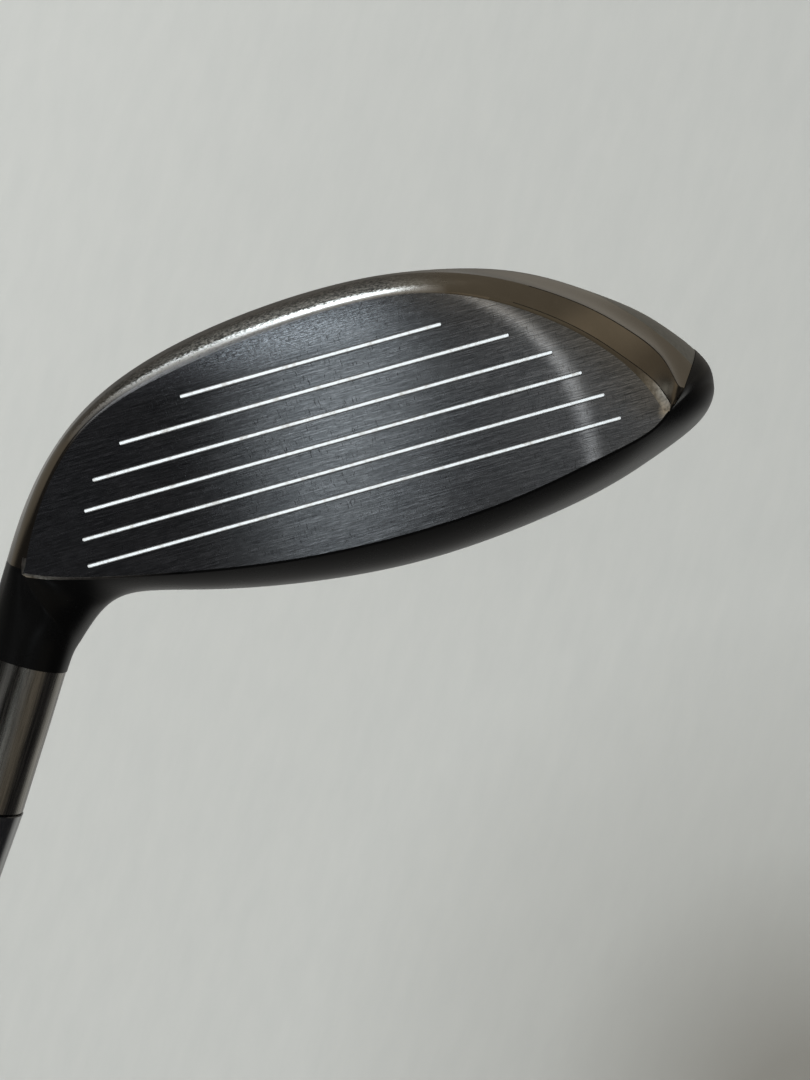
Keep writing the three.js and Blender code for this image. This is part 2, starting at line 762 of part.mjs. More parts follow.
const shaftTaper = (z) =>
  THREE.MathUtils.clamp(
    (z - SHAFT_PARALLEL_BUTT) / (SHAFT_TIP_Z - SHAFT_PARALLEL_TIP - SHAFT_PARALLEL_BUTT),
    0,
    1,
  );
const shaftRadius = (z) =>
  THREE.MathUtils.lerp(SHAFT_BUTT_RADIUS, SHAFT_TIP_RADIUS, shaftTaper(z));
const shaftWall = (z) => THREE.MathUtils.lerp(SHAFT_BUTT_WALL, SHAFT_TIP_WALL, shaftTaper(z));

function shaft() {
  const heights = [
    SHAFT_BUTT_Z,
    SHAFT_PARALLEL_BUTT,
    (SHAFT_PARALLEL_BUTT + SHAFT_TIP_Z - SHAFT_PARALLEL_TIP) / 2,
    SHAFT_TIP_Z - SHAFT_PARALLEL_TIP,
    SHAFT_TIP_Z,
  ];
  const outside = heights.map((z) => [shaftRadius(z), z]);
  const inside = heights.map((z) => [shaftRadius(z) - shaftWall(z), z]).reverse();
  return turned([...outside, ...inside]);
}

const tipBore = SHAFT_TIP_RADIUS - SHAFT_TIP_WALL - FINE_GAP;

function tipWeight() {
  const top = SHAFT_TIP_Z - TIP_WEIGHT_START;
  return rod(tipBore, top - TIP_WEIGHT_LENGTH, top);
}

function tipCork() {
  const top = SHAFT_TIP_Z - TIP_WEIGHT_START - TIP_WEIGHT_LENGTH - GAP;
  return rod(tipBore, top - CORK_LENGTH, top);
}

// The adhesive between the shaft tip and the hosel bore.
function hoselAdhesive() {
  const inner = SHAFT_TIP_RADIUS + FINE_GAP;
  const outer = BORE_RADIUS - FINE_GAP;
  return turned([
    [inner, HOSEL_END_Z + ADHESIVE_SHORT],
    [outer, HOSEL_END_Z + ADHESIVE_SHORT],
    [outer, SHAFT_TIP_Z],
    [inner, SHAFT_TIP_Z],
  ]);
}

function ferrule() {
  const top = HOSEL_END_Z - GAP;
  const bottom = HOSEL_END_Z - FERRULE_LENGTH;
  const bore = SHAFT_TIP_RADIUS + FERRULE_BORE_GAP;
  const outside = Array.from({ length: FERRULE_STEPS + 1 }, (_, i) => {
    const t = i / FERRULE_STEPS;
    return [
      THREE.MathUtils.lerp(FERRULE_END_RADIUS, HOSEL_END_RADIUS, t ** FERRULE_SWELL),
      THREE.MathUtils.lerp(bottom, top, t),
    ];
  });
  return turned([[bore, bottom], ...outside, [bore, top]]);
}

// Outside radius of the grip at a height above the butt.
const gripCurve = new THREE.SplineCurve([
  new THREE.Vector2(GRIP_START_RADIUS, GRIP_CAP_HEIGHT + GAP),
  ...GRIP_PROFILE.map(([radius, z]) => new THREE.Vector2(radius, z)),
  new THREE.Vector2(GRIP_MOUTH_RADIUS, GRIP_LENGTH),
]);

function gripSleeve() {
  const outside = gripCurve.getPoints(GRIP_STEPS).map(({ x, y }) => [x, y]);
  const heights = [GRIP_LENGTH, SHAFT_PARALLEL_BUTT, GRIP_CAP_HEIGHT + GAP];
  const clearance = TAPE_THICKNESS + 2 * GRIP_CLEARANCE;
  const inside = heights.map((z) => [shaftRadius(z) + clearance, z]);
  return turned([...outside, ...inside]);
}

function gripTape() {
  const [fromButt, fromMouth] = TAPE_SHORT;
  const heights = [SHAFT_BUTT_Z + fromButt, SHAFT_PARALLEL_BUTT, GRIP_LENGTH - fromMouth];
  const inside = heights.map((z) => [shaftRadius(z) + GRIP_CLEARANCE, z]);
  const outside = inside.map(([radius, z]) => [radius + TAPE_THICKNESS, z]).reverse();
  return turned([...inside, ...outside]);
}

function gripCap() {
  const steps = 5;
  const corner = (cx, cz, from, to) =>
    Array.from({ length: steps + 1 }, (_, i) => {
      const angle = THREE.MathUtils.lerp(from, to, i / steps);
      return [cx + GRIP_CAP_EDGE * Math.cos(angle), cz + GRIP_CAP_EDGE * Math.sin(angle)];
    });
  const middle = GRIP_CAP_RADIUS - GRIP_CAP_EDGE;
  return turned([
    [GRIP_VENT_RADIUS, 0],
    ...corner(middle, GRIP_CAP_EDGE, -Math.PI / 2, 0),
    ...corner(middle, GRIP_CAP_HEIGHT - GRIP_CAP_EDGE, 0, Math.PI / 2),
    [GRIP_VENT_RADIUS, GRIP_CAP_HEIGHT],
  ]);
}

// ---------------------------------------------------------------- assembly

const headPieces = new THREE.Group();
headPieces.position.copy(HOSEL_ROOT).negate();
headPieces.add(
  meshOf("head_casting", headCasting(), materials.polishedSteel),
  meshOf("crown_plate", crownPlate(), materials.blackPaint),
  meshOf("face_plate", facePlate(), materials.faceSteel),
  ...SCORE_LINES.map((line, i) =>
    meshOf(`score_fill_${i + 1}`, scoreFill(line), materials.whiteEnamel),
  ),
  meshOf("weight_screw", weightScrew(), materials.weightSteel),
  meshOf("weight_washer", weightWasher(), materials.washerRubber),
  meshOf("debris_resin", debrisResin(), materials.adhesive),
);

// Half a turn about this axis stands the hosel upright and sends the face towards -Y.
const upright = (Math.PI / 2 - LIE) / 2;
const head = new THREE.Group();
head.setRotationFromAxisAngle(point(Math.cos(upright), 0, Math.sin(upright)), Math.PI);
head.position.set(0, 0, HEAD_Z);
head.add(headPieces);

const club = new THREE.Group();
club.add(
  head,
  meshOf("shaft", shaft(), materials.carbon),
  meshOf("tip_weight", tipWeight(), materials.brass),
  meshOf("tip_cork", tipCork(), materials.cork),
  meshOf("hosel_adhesive", hoselAdhesive(), materials.adhesive),
  meshOf("ferrule", ferrule(), materials.blackPlastic),
  meshOf("grip_sleeve", gripSleeve(), materials.gripRubber),
  meshOf("grip_tape", gripTape(), materials.paperTape),
  meshOf("grip_cap", gripCap(), materials.gripRubber),
);

export default club;
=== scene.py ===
"""Looks of the hybrid golf club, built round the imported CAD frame.

The head's skin follows the same guide curves as the CAD part, at a finer step, and is split into
casting, crown and face. It is drawn in the address frame, in millimetres: +X from heel to toe,
+Y out of the face, +Z up from the ground. TURN carries it to the club's frame.
"""

import math

import bmesh
import bpy
import numpy as np
from mathutils import Matrix, Vector
from mathutils.bvhtree import BVHTree
from mathutils.geometry import delaunay_2d_cdt

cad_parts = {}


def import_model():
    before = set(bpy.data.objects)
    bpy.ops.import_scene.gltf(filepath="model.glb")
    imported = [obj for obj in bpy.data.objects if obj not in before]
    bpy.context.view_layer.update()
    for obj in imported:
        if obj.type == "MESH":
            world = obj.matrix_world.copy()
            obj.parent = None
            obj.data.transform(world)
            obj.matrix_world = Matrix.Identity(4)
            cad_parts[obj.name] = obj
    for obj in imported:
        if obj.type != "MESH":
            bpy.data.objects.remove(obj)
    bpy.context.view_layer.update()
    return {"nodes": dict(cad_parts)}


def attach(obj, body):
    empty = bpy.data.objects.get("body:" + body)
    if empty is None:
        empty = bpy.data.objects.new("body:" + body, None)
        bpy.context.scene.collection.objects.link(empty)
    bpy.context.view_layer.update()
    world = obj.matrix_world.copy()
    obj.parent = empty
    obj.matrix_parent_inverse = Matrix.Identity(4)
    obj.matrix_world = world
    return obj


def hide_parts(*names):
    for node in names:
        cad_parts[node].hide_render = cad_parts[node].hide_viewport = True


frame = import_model()
MM = 0.001

# ---------------------------------------------------------------- dimensions, as in the CAD part

LOFT = math.radians(19)
LIE = math.radians(57.5)
CLUB_LENGTH = 1035
HOSEL_ROOT = np.array([-46.8, 0, 29.5])
HOSEL_RADIUS = 6.4
HOSEL_END_RADIUS = 6.0
HOSEL_LENGTH = 31
HOSEL_STATIONS = [8, 15, 23, 31]
LEADING_EDGE = np.array([0, 18, 4])
BULGE_RADIUS = 330
ROLL_RADIUS = 330
FACE_MIDDLE_HEIGHT = 16
TOE_PLANE_NORMAL = np.array([0.638, -0.048, 0.77]) / math.hypot(0.638, 0.048, 0.77)
TOE_PLANE_DISTANCE = 50
CROWN_STATIONS = (2.1, 9.7)
SCORE_LINES = [
    (5.2, -18.8, 17.1),
    (9.1, -28.5, 25.5),
    (13.0, -33.6, 30.7),
    (16.9, -36.1, 34.0),
    (20.8, -37.7, 36.4),
    (24.7, -38.3, 38.0),
]
SCORE_HALF_WIDTH = 0.36
SCORE_DEPTH = 0.5
WEIGHT_STATION = 6.2
WEIGHT_RING_PLACE = 2.55
PORT_RADIUS = 8.0
PORT_DEPTH = 6.0
PORT_BOSS_RADIUS = 10.2
PORT_BOSS_DEPTH = 14.5
PILOT_RADIUS = 3.3
PILOT_DEPTH = 13

# Looks only.
PAINT_UP_HOSEL = 9.8  # where the paint ends on the hosel
PAINT_HEEL = -3.4  # where it ends below the hosel, on the same scale
PAINT_THICKNESS = 0.12
STEP_WIDTH = 0.07
STEP_FADE = 2.0  # how far from the paint's edge the polished band comes level with it
SHELL = 0.95  # wall of the drawn shell
FACE_SHELL = 1.9
FACE_CHAMFER = 0.28
CHAMFER_GROWTH = (39, 45, 1.6)  # it widens between these places on the sole side, by this share
SEAM = 0.13  # dark lines along the face and along the crease near the toe
SEAM_END = 5.3
CREASE_SEAM = (3.988, 4.032)
TOE_FACET_NORMAL = np.array([0.781, -0.135, -0.611])  # satin facet of the sole next to the toe
TOE_FACET_DISTANCE = 25.4
ROLL_OFF = 0.17  # tilt at the face's edge, in radians
ROLL_OFF_REACH = 4.5
ROLL_OFF_SIDE = 1.4  # how fast it comes in where the edge turns to the sole
ROLL_OFF_START = (-15, 15)  # and where it comes in along the face
FACE_STRIP = (1 / 6, 4.5)  # the face piece's edges on the crown and the sole, as ring places
STEP_RINGS = (2.6, 3.2, 4.7, 5)  # rings where it starts, is full, is no longer full, and ends
TOE_STATIONS = 5  # the toe's paint edge is before this station
FACET_STATIONS = 6  # the satin facet is before this one, between these rings
FACET_RINGS = (2.4, 4)
HOSEL_FROM = 9  # the hosel's paint edge is beyond this one

HEAD_Z = CLUB_LENGTH - HOSEL_ROOT[2] / math.sin(LIE)
HOSEL_DIRECTION = np.array([-math.cos(LIE), 0, math.sin(LIE)])
HOSEL_INNER_SIDE = np.array([math.sin(LIE), 0, math.cos(LIE)])
TURN = np.array([HOSEL_INNER_SIDE, [0, -1, 0], -HOSEL_DIRECTION])
FACE_NORMAL = np.array([0, math.cos(LOFT), math.sin(LOFT)])
FACE_UP = np.array([0, -math.sin(LOFT), math.cos(LOFT)])


def to_club(points):
    """Address frame in millimetres to the club's frame in metres."""
    return ((np.asarray(points, float) - HOSEL_ROOT) @ TURN.T + [0, 0, HEAD_Z]) * MM


def placed(origin, *axes):
    """The matrix that carries a drawing to a place and three axes given in the address frame."""
    turn = np.stack([TURN @ axis for axis in axes], 1)
    return Matrix.Translation(to_club(origin)) @ Matrix(turn.tolist()).to_4x4()


def linked(name, data):
    """A new object in the scene."""
    made = bpy.data.objects.new(name, data)
    bpy.context.scene.collection.objects.link(made)
    return made


# ---------------------------------------------------------------- guide curves of the head

TOE_CORNER = 2
HEEL_CORNER = 11
LAST_STATION = 15
TOE_TIP = (54.9, -9, 26.4)
TOE_FRONT = (51, 1.2, 26.1)
TOE_REAR = (52.9, -13.5, 29)
FACE_CROWN_EDGE = [
    (44.9, 25.7), (41, 28.2), (32, 30.2), (20, 32.2), (4, 32.9),
    (-12, 31.8), (-26, 29.4), (-37.4, 26.8), (-44, 24.8), (-47.4, 23.2),
]
FACE_SOLE_EDGE = [
    (44.9, 25.7), (42.9, 21.0), (38.4, 14.9), (30.2, 7.4), (16, 0.3),
    (-2, -0.7), (-20, 1.5), (-33.3, 6.1), (-42.5, 15.2), (-47.4, 23.2),
]
CROWN_RIDGE = [
    TOE_TIP, (52.8, -8.5, 29.9), (48.9, -8, 32.3), (42.3, -8, 34.8), (33, -8, 37.4),
    (19, -8, 39.4), (4, -8, 39.9), (-11, -8, 38.4), (-24, -7, 35.7), (-34, -5, 33.1),
    (-39.8, -3, 34), (-43.7, -1, 37.3),
]
RIM = [
    TOE_TIP, (52.5, -17.5, 26), (47, -26.5, 25), (39.5, -33.5, 23.5), (30.5, -38.5, 21.8),
    (18.5, -42, 20), (4, -43.5, 18.6), (-11, -41.5, 18), (-25, -35.5, 18.8),
    (-36.5, -26, 21.2), (-44, -16, 25.2), (-49.3, -8.8, 30.8),
]
KEEL = [
    TOE_TIP, (53.8, -7.5, 22), (50.3, -4, 18), (45.8, -3, 13.4), (39, -3, 8.3),
    (28.5, -3, 2.6), (13, -3, -0.9), (-4, -3, -1.2), (-20.5, -3, 1), (-34, -3, 5.9),
    (-44.5, -2.5, 14.9), (-51.3, -1, 24.8),
]
LEADING_CREASE = [
    TOE_TIP, (52.8, -1.5, 23.6), (47.6, 6.4, 25.7), (45.7, 8.3, 21.4), (41.3, 9.9, 15.6),
    (33.5, 12.3, 9.2), (17.8, 14.3, 1.9), (-2.4, 14.7, 0.6), (-20.3, 14.2, 3),
    (-34.2, 12.2, 8.6), (-43.4, 8.6, 16.8), (-49.4, 5.6, 25),
]
OPEN_HEIGHT = 15  # where the face is as high as this, the rim and the ridge are tightest
RIM_TIGHTER = 0.5
RIDGE_TIGHTER = 0.15
CREASE_SHARPNESS = [0, 0, 0.6, 1, 1, 1, 0.5, 0]  # at the stations in order, and nought beyond


def unit(v):
    length = np.linalg.norm(v, axis=-1, keepdims=True)
    return v / np.where(length > 1e-9, length, 1)


def smoothstep(low, high, value):
    t = np.clip((value - low) / (high - low), 0, 1)
    return t * t * (3 - 2 * t)


def hermite(a, a_slope, b, b_slope, t):
    return (
        a * (1 - 3 * t**2 + 2 * t**3)
        + a_slope * (t - 2 * t**2 + t**3)
        + b * (3 * t**2 - 2 * t**3)
        + b_slope * (t**3 - t**2)
    )


def spline_through(points, first_slope=None):
    """A curve through points at whole-number places, with continuous curvature."""
    p = np.array(points, float)
    n = len(p)
    rows, right = np.zeros((n, n)), np.zeros_like(p)
    for i in range(1, n - 1):
        rows[i, i - 1 : i + 2] = 1, 4, 1
        right[i] = 3 * (p[i + 1] - p[i - 1])
    rows[0, :2] = (2, 1) if first_slope is None else (1, 0)
    right[0] = 3 * (p[1] - p[0]) if first_slope is None else first_slope
    rows[-1, -2:] = 1, 2
    right[-1] = 3 * (p[-1] - p[-2])
    slopes = np.linalg.solve(rows, right)

    def at(places):
        places = np.asarray(places, float)
        i = np.clip(np.floor(places).astype(int), 0, n - 2)
        t = (places - i)[..., None]
        return hermite(p[i], slopes[i], p[i + 1], slopes[i + 1], t)

    return at


def hosel_point(up, angle):
    radius = HOSEL_RADIUS + (HOSEL_END_RADIUS - HOSEL_RADIUS) * up / HOSEL_LENGTH
    across = np.array([0, 1, 0]) * math.cos(angle) + HOSEL_INNER_SIDE * math.sin(angle)
    return HOSEL_ROOT + HOSEL_DIRECTION * up + across * radius


def skin_guide(points, angle, opposite):
    rings = [hosel_point(up, angle) for up in HOSEL_STATIONS]
    slope = (np.array(points[1]) - np.array(opposite)) / 2
    return spline_through([*points, *rings], slope)


def face_point(x, height, out=0.0):
    x, height = np.asarray(x, float), np.asarray(height, float)
    sag = x**2 / (2 * BULGE_RADIUS) + (height - FACE_MIDDLE_HEIGHT) ** 2 / (2 * ROLL_RADIUS)
    base = np.stack([x, -sag, np.zeros_like(x)], -1) + LEADING_EDGE
    return base + height[..., None] * FACE_UP + np.asarray(out, float)[..., None] * FACE_NORMAL


def face_normal(x, height):
    x, height = np.asarray(x, float), np.asarray(height, float)
    rise = math.sin(LOFT) + (height - FACE_MIDDLE_HEIGHT) / ROLL_RADIUS
    across = x / BULGE_RADIUS * math.cos(LOFT)
    return unit(np.stack([across, np.full_like(x, math.cos(LOFT)), rise], -1))


crown_ridge = skin_guide(CROWN_RIDGE, math.pi / 2, KEEL[1])
rim = skin_guide(RIM, math.pi, TOE_FRONT)
keel = skin_guide(KEEL, -math.pi / 2, CROWN_RIDGE[1])
leading_crease = skin_guide(LEADING_CREASE, -math.pi / 4, TOE_REAR)
face_crown_edge = spline_through(FACE_CROWN_EDGE)
face_sole_edge = spline_through(FACE_SOLE_EDGE)
toe_corner = face_point(*FACE_CROWN_EDGE[0])
heel_corner = face_point(*FACE_CROWN_EDGE[-1])
toe_front = spline_through(
    [TOE_TIP, TOE_FRONT, toe_corner], (np.array(TOE_FRONT) - np.array(RIM[1])) / 2
)
hosel_front = spline_through([heel_corner, *[hosel_point(up, 0) for up in HOSEL_STATIONS]])


def arc(start, start_direction, end, end_direction, t, fullness):
    """Points at t on an arc between two points with the given directions, for every station."""
    dot = np.clip((start_direction * end_direction).sum(-1), -1, 1)
    turn = np.arccos(dot)
    length = np.linalg.norm(end - start, axis=-1) / np.cos(turn / 4) ** 2
    a = start_direction * (length * fullness[0])[:, None]
    b = end_direction * (length * fullness[1])[:, None]
    return hermite(start[:, None], a[:, None], end[:, None], b[:, None], t[..., None])


def arc_direction(known, start, end):
    chord = unit(end - start)
    return unit(2 * (chord * known).sum(-1, keepdims=True) * chord - known)


def skin(stations, rings):
    """Points of the skin. rings is (stations, n): 0 crown edge of the face, 1 ridge, 2 rim, 3 keel,
    4 leading crease, 5 sole edge of the face."""
    stations = np.asarray(stations, float)
    on_face = (stations > TOE_CORNER) & (stations < HEEL_CORNER)
    place = np.clip(stations - TOE_CORNER, 0, HEEL_CORNER - TOE_CORNER)
    front = np.where(
        (stations <= TOE_CORNER)[:, None],
        toe_front(np.clip(stations, 0, TOE_CORNER)),
        hosel_front(np.clip(stations - HEEL_CORNER, 0, len(HOSEL_STATIONS))),
    )
    crown_edge = np.where(on_face[:, None], face_point(*face_crown_edge(place).T), front)
    sole_edge = np.where(on_face[:, None], face_point(*face_sole_edge(place).T), front)
    ridge, rear, low = crown_ridge(stations), rim(stations), keel(stations)
    crease = leading_crease(stations)
    sharp = np.interp(stations, range(len(CREASE_SHARPNESS)), CREASE_SHARPNESS)[:, None]
    opening = np.minimum(1, np.linalg.norm(crown_edge - sole_edge, axis=-1) / OPEN_HEIGHT)
    rim_full, ridge_full = 1 - RIM_TIGHTER * opening, 1 - RIDGE_TIGHTER * opening

    forward = np.tile([0.0, 1.0, 0.0], (len(stations), 1))
    down = unit(low - ridge)
    along = unit(sole_edge - low)
    into = unit(along + (unit(crease - low) - along) * sharp)
    out_of = unit(along + (unit(sole_edge - crease) - along) * sharp)
    start = arc_direction(-forward, crown_edge, ridge)
    end = arc_direction(out_of, crease, sole_edge)
    arcs = [
        (crown_edge, start, ridge, -forward, (1, 1)),
        (ridge, -forward, rear, down, (ridge_full, rim_full)),
        (rear, down, low, forward, (rim_full, ridge_full)),
        (low, forward, crease, into, (1, 1)),
        (crease, out_of, sole_edge, end, (1, 1)),
    ]
    rings = np.asarray(rings, float)
    points = np.zeros((*rings.shape, 3))
    for i, (a, da, b, db, fullness) in enumerate(arcs):
        mine = (rings >= i) & ((rings < i + 1) | (i == len(arcs) - 1))
        found = arc(a, da, b, db, np.clip(rings - i, 0, 1), fullness)
        points[mine] = found[mine]
    return points


def middles(stations):
    """The middle of each section, which thickness is measured towards."""
    rings = np.tile(np.linspace(0, 5, 60, endpoint=False), (len(stations), 1))
    return skin(np.clip(stations, 1, None), rings).mean(1)


# ---------------------------------------------------------------- the head's skin as a mesh

CORNER_RUN = 0.15  # stations over which the chamfer and the seam start at the face's corners
STATION_STEPS = [(0, 2, 26), (2, 9.5, 112), (9.5, 11, 26), (11, 12, 14), (12, 15, 14)]
RING_STEPS = [
    (0, 1, 24), (1, 2, 36), (2, 3, 32), (3, CREASE_SEAM[0], 14), (CREASE_SEAM[0], 4, 1),
    (4, CREASE_SEAM[1], 1), (CREASE_SEAM[1], 5, 10),
]


def stepped(runs, last):
    values = [np.linspace(a, b, n, endpoint=False) for a, b, n in runs]
    return np.append(np.concatenate(values), last)


def snapped(values, exact):
    """The same values, with the nearest one to each exact value moved onto it."""
    for value in exact:
        values[np.argmin(abs(values - value))] = value
    return values


def corner_ramp(stations):
    """Nought at the face's corners and one away from them."""
    return np.clip(np.minimum(stations - TOE_CORNER, HEEL_CORNER - stations) / CORNER_RUN, 0, 1)


def chamfer_growth(x):
    low, high, share = CHAMFER_GROWTH
    return 1 + share * smoothstep(low, high, x)


def on_facet(station, ring):
    """Whether a place of the skin may be on the satin facet next to the toe."""
    return station < FACET_STATIONS and FACET_RINGS[0] < ring < FACET_RINGS[1]


def vertex_normals(points, faces):
    """Area-weighted normals of a mesh of quads and triangles."""
    normals = np.zeros_like(points)
    for f in faces:
        a, b, d = points[f[0]], points[f[1]], points[f[-1]]
        n = np.cross(b - a, d - a)
        if len(f) == 4:
            n = n + np.cross(d - points[f[2]], b - points[f[2]])
        for i in f:
            normals[i] += n
    return unit(normals)


def body_grid():
    """The skin without the face, as a bmesh with normals, inner points and places in layers."""
    stations = snapped(stepped(STATION_STEPS, LAST_STATION), CROWN_STATIONS)
    rings = np.tile(stepped(RING_STEPS, 5), (len(stations), 1))
    faced = (stations > TOE_CORNER) & (stations < HEEL_CORNER)
    ramp = corner_ramp(stations)
    corners = skin(stations, np.tile([0.0, 1.0, 4.0, 5.0], (len(stations), 1)))
    crown_run = np.linalg.norm(corners[:, 1] - corners[:, 0], axis=-1)
    sole_run = np.linalg.norm(corners[:, 3] - corners[:, 2], axis=-1)
    rings[:, 0] = np.where(faced, ramp * FACE_CHAMFER / np.maximum(crown_run, 1), 0)
    width = FACE_CHAMFER * chamfer_growth(corners[:, 3, 0])
    rings[:, -1] = np.where(faced, 5 - ramp * width / np.maximum(sole_run, 1), 5)
    seamed = rings[:, -1] - SEAM / np.maximum(sole_run, 1)
    rings[:, -2] = np.where(faced, rings[:, -2] + ramp * (seamed - rings[:, -2]), rings[:, -2])
    points = skin(stations, rings)
    middle = middles(stations)
    inner = points + SHELL * unit(middle[:, None] - points)

    rows, columns = rings.shape
    index = np.arange(rows * columns).reshape(rows, columns)
    index[0] = index[0, 0]
    index[~faced, -1] = index[~faced, 0]
    flat = points.reshape(-1, 3)
    faces, places = [], []
    for i in range(rows - 1):
        for j in range(columns - 1):
            loop = [index[i, j], index[i, j + 1], index[i + 1, j + 1], index[i + 1, j]]
            corners = list(dict.fromkeys(loop))
            if len(corners) > 2:
                faces.append(corners)
                ring = (rings[i, j] + rings[i, j + 1]) / 2
                seam = j == columns - 2 or CREASE_SEAM[0] < ring < CREASE_SEAM[1]
                places.append(((stations[i] + stations[i + 1]) / 2, ring, float(seam)))
    normals = vertex_normals(flat, faces)
    row = rows // 2
    probe = index[row, columns // 2]
    if (normals[probe] * (flat[probe] - middle[row])).sum() < 0:
        faces = [f[::-1] for f in faces]
        normals = -normals

    bm = bmesh.new()
    vectors = bm.verts.layers.float_vector
    layers = {name: vectors.new(name) for name in ("normal", "inner", "place")}
    face_place = bm.faces.layers.float_vector.new("face_place")
    made = {}
    for k in sorted({int(i) for f in faces for i in f}):
        v = bm.verts.new(flat[k])
        v[layers["normal"]] = normals[k]
        v[layers["inner"]] = inner.reshape(-1, 3)[k]
        v[layers["place"]] = (stations[k // columns], rings.reshape(-1)[k], 0)
        made[k] = v
    for f, place in zip(faces, places, strict=True):
        bm.faces.new([made[k] for k in f])[face_place] = place

    def cut(keep, origin, normal):
        chosen = [f for f in bm.faces if keep(*f[face_place][:2])]
        edges = {e for f in chosen for e in f.edges}
        verts = {v for f in chosen for v in f.verts}
        bmesh.ops.bisect_plane(
            bm, geom=[*chosen, *edges, *verts], plane_co=origin, plane_no=normal, dist=1e-5
        )

    for distance in (TOE_PLANE_DISTANCE, TOE_PLANE_DISTANCE - STEP_WIDTH):
        cut(lambda s, r: s < TOE_STATIONS, TOE_PLANE_NORMAL * distance, TOE_PLANE_NORMAL)
    for up in (PAINT_UP_HOSEL, PAINT_UP_HOSEL + STEP_WIDTH, PAINT_HEEL):
        cut(lambda s, r: s > HOSEL_FROM, HOSEL_ROOT + HOSEL_DIRECTION * up, HOSEL_DIRECTION)
    for distance in (TOE_FACET_DISTANCE, TOE_FACET_DISTANCE + SEAM):
        cut(on_facet, TOE_FACET_NORMAL * distance, TOE_FACET_NORMAL)

    # The opening for the face: each of its vertices by number, with its station and side.
    bm.verts.index_update()
    first, last = (int(np.argmin(abs(stations - x))) for x in (TOE_CORNER, HEEL_CORNER))
    opening = {}
    for i in range(first, last + 1):
        for j, on_sole in ((0, False), (columns - 1, True)):
            opening[made[int(index[i, j])].index] = (i - first, on_sole)
    return bm, layers, face_place, stations, opening


class Piece:
    """A closed mesh under construction: corners are shared by key, and each polygon has its
    own corner normals, or None for a flat one."""

    def __init__(self, name, materials):
        self.name, self.materials = name, materials
        self.keys, self.points = {}, []
        self.polygons, self.normals, self.slots = [], [], []

    def corner(self, key, point):
        if key not in self.keys:
            self.keys[key] = len(self.points)
            self.points.append(np.asarray(point, float))
        return self.keys[key]

    def polygon(self, corners, normals=None, slot=0):
        """corners is a list of (key, point)."""
        indices = [self.corner(*c) for c in corners]
        if len(set(indices)) > 2:
            self.polygons.append(indices)
            self.normals.append(normals)
            self.slots.append(slot)

    def build(self):
        mesh = bpy.data.meshes.new(self.name)
        mesh.from_pydata(to_club(self.points).tolist(), [], self.polygons)
        mesh.polygons.foreach_set("material_index", self.slots)
        mesh.polygons.foreach_set("use_smooth", [True] * len(self.polygons))
        loops = []
        for polygon, normals in zip(mesh.polygons, self.normals, strict=True):
            if normals is None:
                loops += [polygon.normal[:]] * len(polygon.vertices)
            else:
                loops += (unit(np.asarray(normals, float)) @ TURN.T).tolist()
        for material in self.materials:
            mesh.materials.append(material)
        mesh.update()
        mesh.normals_split_custom_set(loops)
        return linked(self.name, mesh)


def border(faces):
    """The directed edges of a set of polygons that only one of them has."""
    edges = {e: f for f in faces for e in zip(f, f[1:] + f[:1], strict=True)}
    return [(a, b) for a, b in edges if (b, a) not in edges]


def ordered(edges):
    """Directed border edges as closed loops of vertices."""
    following = dict(edges)
    loops = []
    while following:
        start = next(iter(following))
        loop = [start]
        step = following.pop(start)
        while step != start:
            loop.append(step)
            step = following.pop(step)
        loops.append(loop)
    return loops


def inside(points, outline):
    """Whether each point is inside a closed outline."""
    a, b = outline, np.roll(outline, -1, 0)
    x, y = points[:, :1], points[:, 1:]
    crosses = (a[:, 1] > y) != (b[:, 1] > y)
    rise = np.where(b[:, 1] == a[:, 1], 1, b[:, 1] - a[:, 1])
    at = a[:, 0] + (y - a[:, 1]) / rise * (b[:, 0] - a[:, 0])
    return (crosses & (x < at)).sum(1) % 2 == 1


def triangulated(points, loops, clockwise):
    """Constrained triangles inside the first loop; loops are lists of indices into points."""
    edges = [e for loop in loops for e in zip(loop, loop[1:] + loop[:1], strict=True)]
    found = delaunay_2d_cdt([Vector(p) for p in points], edges, [], 1, 1e-7, True)
    faces, origin = found[2:4]
    if not all(origin):
        raise ValueError("the triangulation made a new point")
    triangles = [[origin[i][0] for i in f] for f in faces]
    flat = np.array(points)
    within = inside(flat[triangles].mean(1), flat[loops[0]])
    first, second = (flat[triangles][:, i] - flat[triangles][:, 0] for i in (1, 2))
    turns = first[:, 0] * second[:, 1] - first[:, 1] * second[:, 0] > 0
    return [
        t[::-1] if left == clockwise else t
        for t, kept, left in zip(triangles, within, turns, strict=True)
        if kept
    ]


# ---------------------------------------------------------------- the face and its score lines

FACE_X_STEPS = np.arange(-50, 48, 2.0)
FACE_HEIGHT_STEPS = np.arange(-1, 34, 1.3)
CLEAR_OF_OUTLINE = 0.55
CLEAR_OF_LINE = 0.6


def capsule(height, heel, toe):
    """Outline of one score line on the face, as (x, height up the face)."""
    half = SCORE_HALF_WIDTH
    first, last = heel + half, toe - half
    run = np.linspace(first, last, max(2, round((last - first) / 2)))
    turn = np.linspace(-math.pi / 2, math.pi / 2, 9)[1:-1]
    return [
        *[(x, height - half) for x in run],
        *[(last + half * math.cos(a), height + half * math.sin(a)) for a in turn],
        *[(x, height + half) for x in run[::-1]],
        *[(first - half * math.cos(a), height - half * math.sin(a)) for a in turn],
    ]


def inset_outline(outline, distances):
    """A clockwise outline drawn in by a distance at each point, with mitred corners."""
    ahead = unit(np.roll(outline, -1, 0) - outline)
    side = np.stack([ahead[:, 1], -ahead[:, 0]], -1)
    before = np.roll(side, 1, 0)
    mitre = (side + before) / (1 + (side * before).sum(-1, keepdims=True))
    return outline + distances[:, None] * mitre


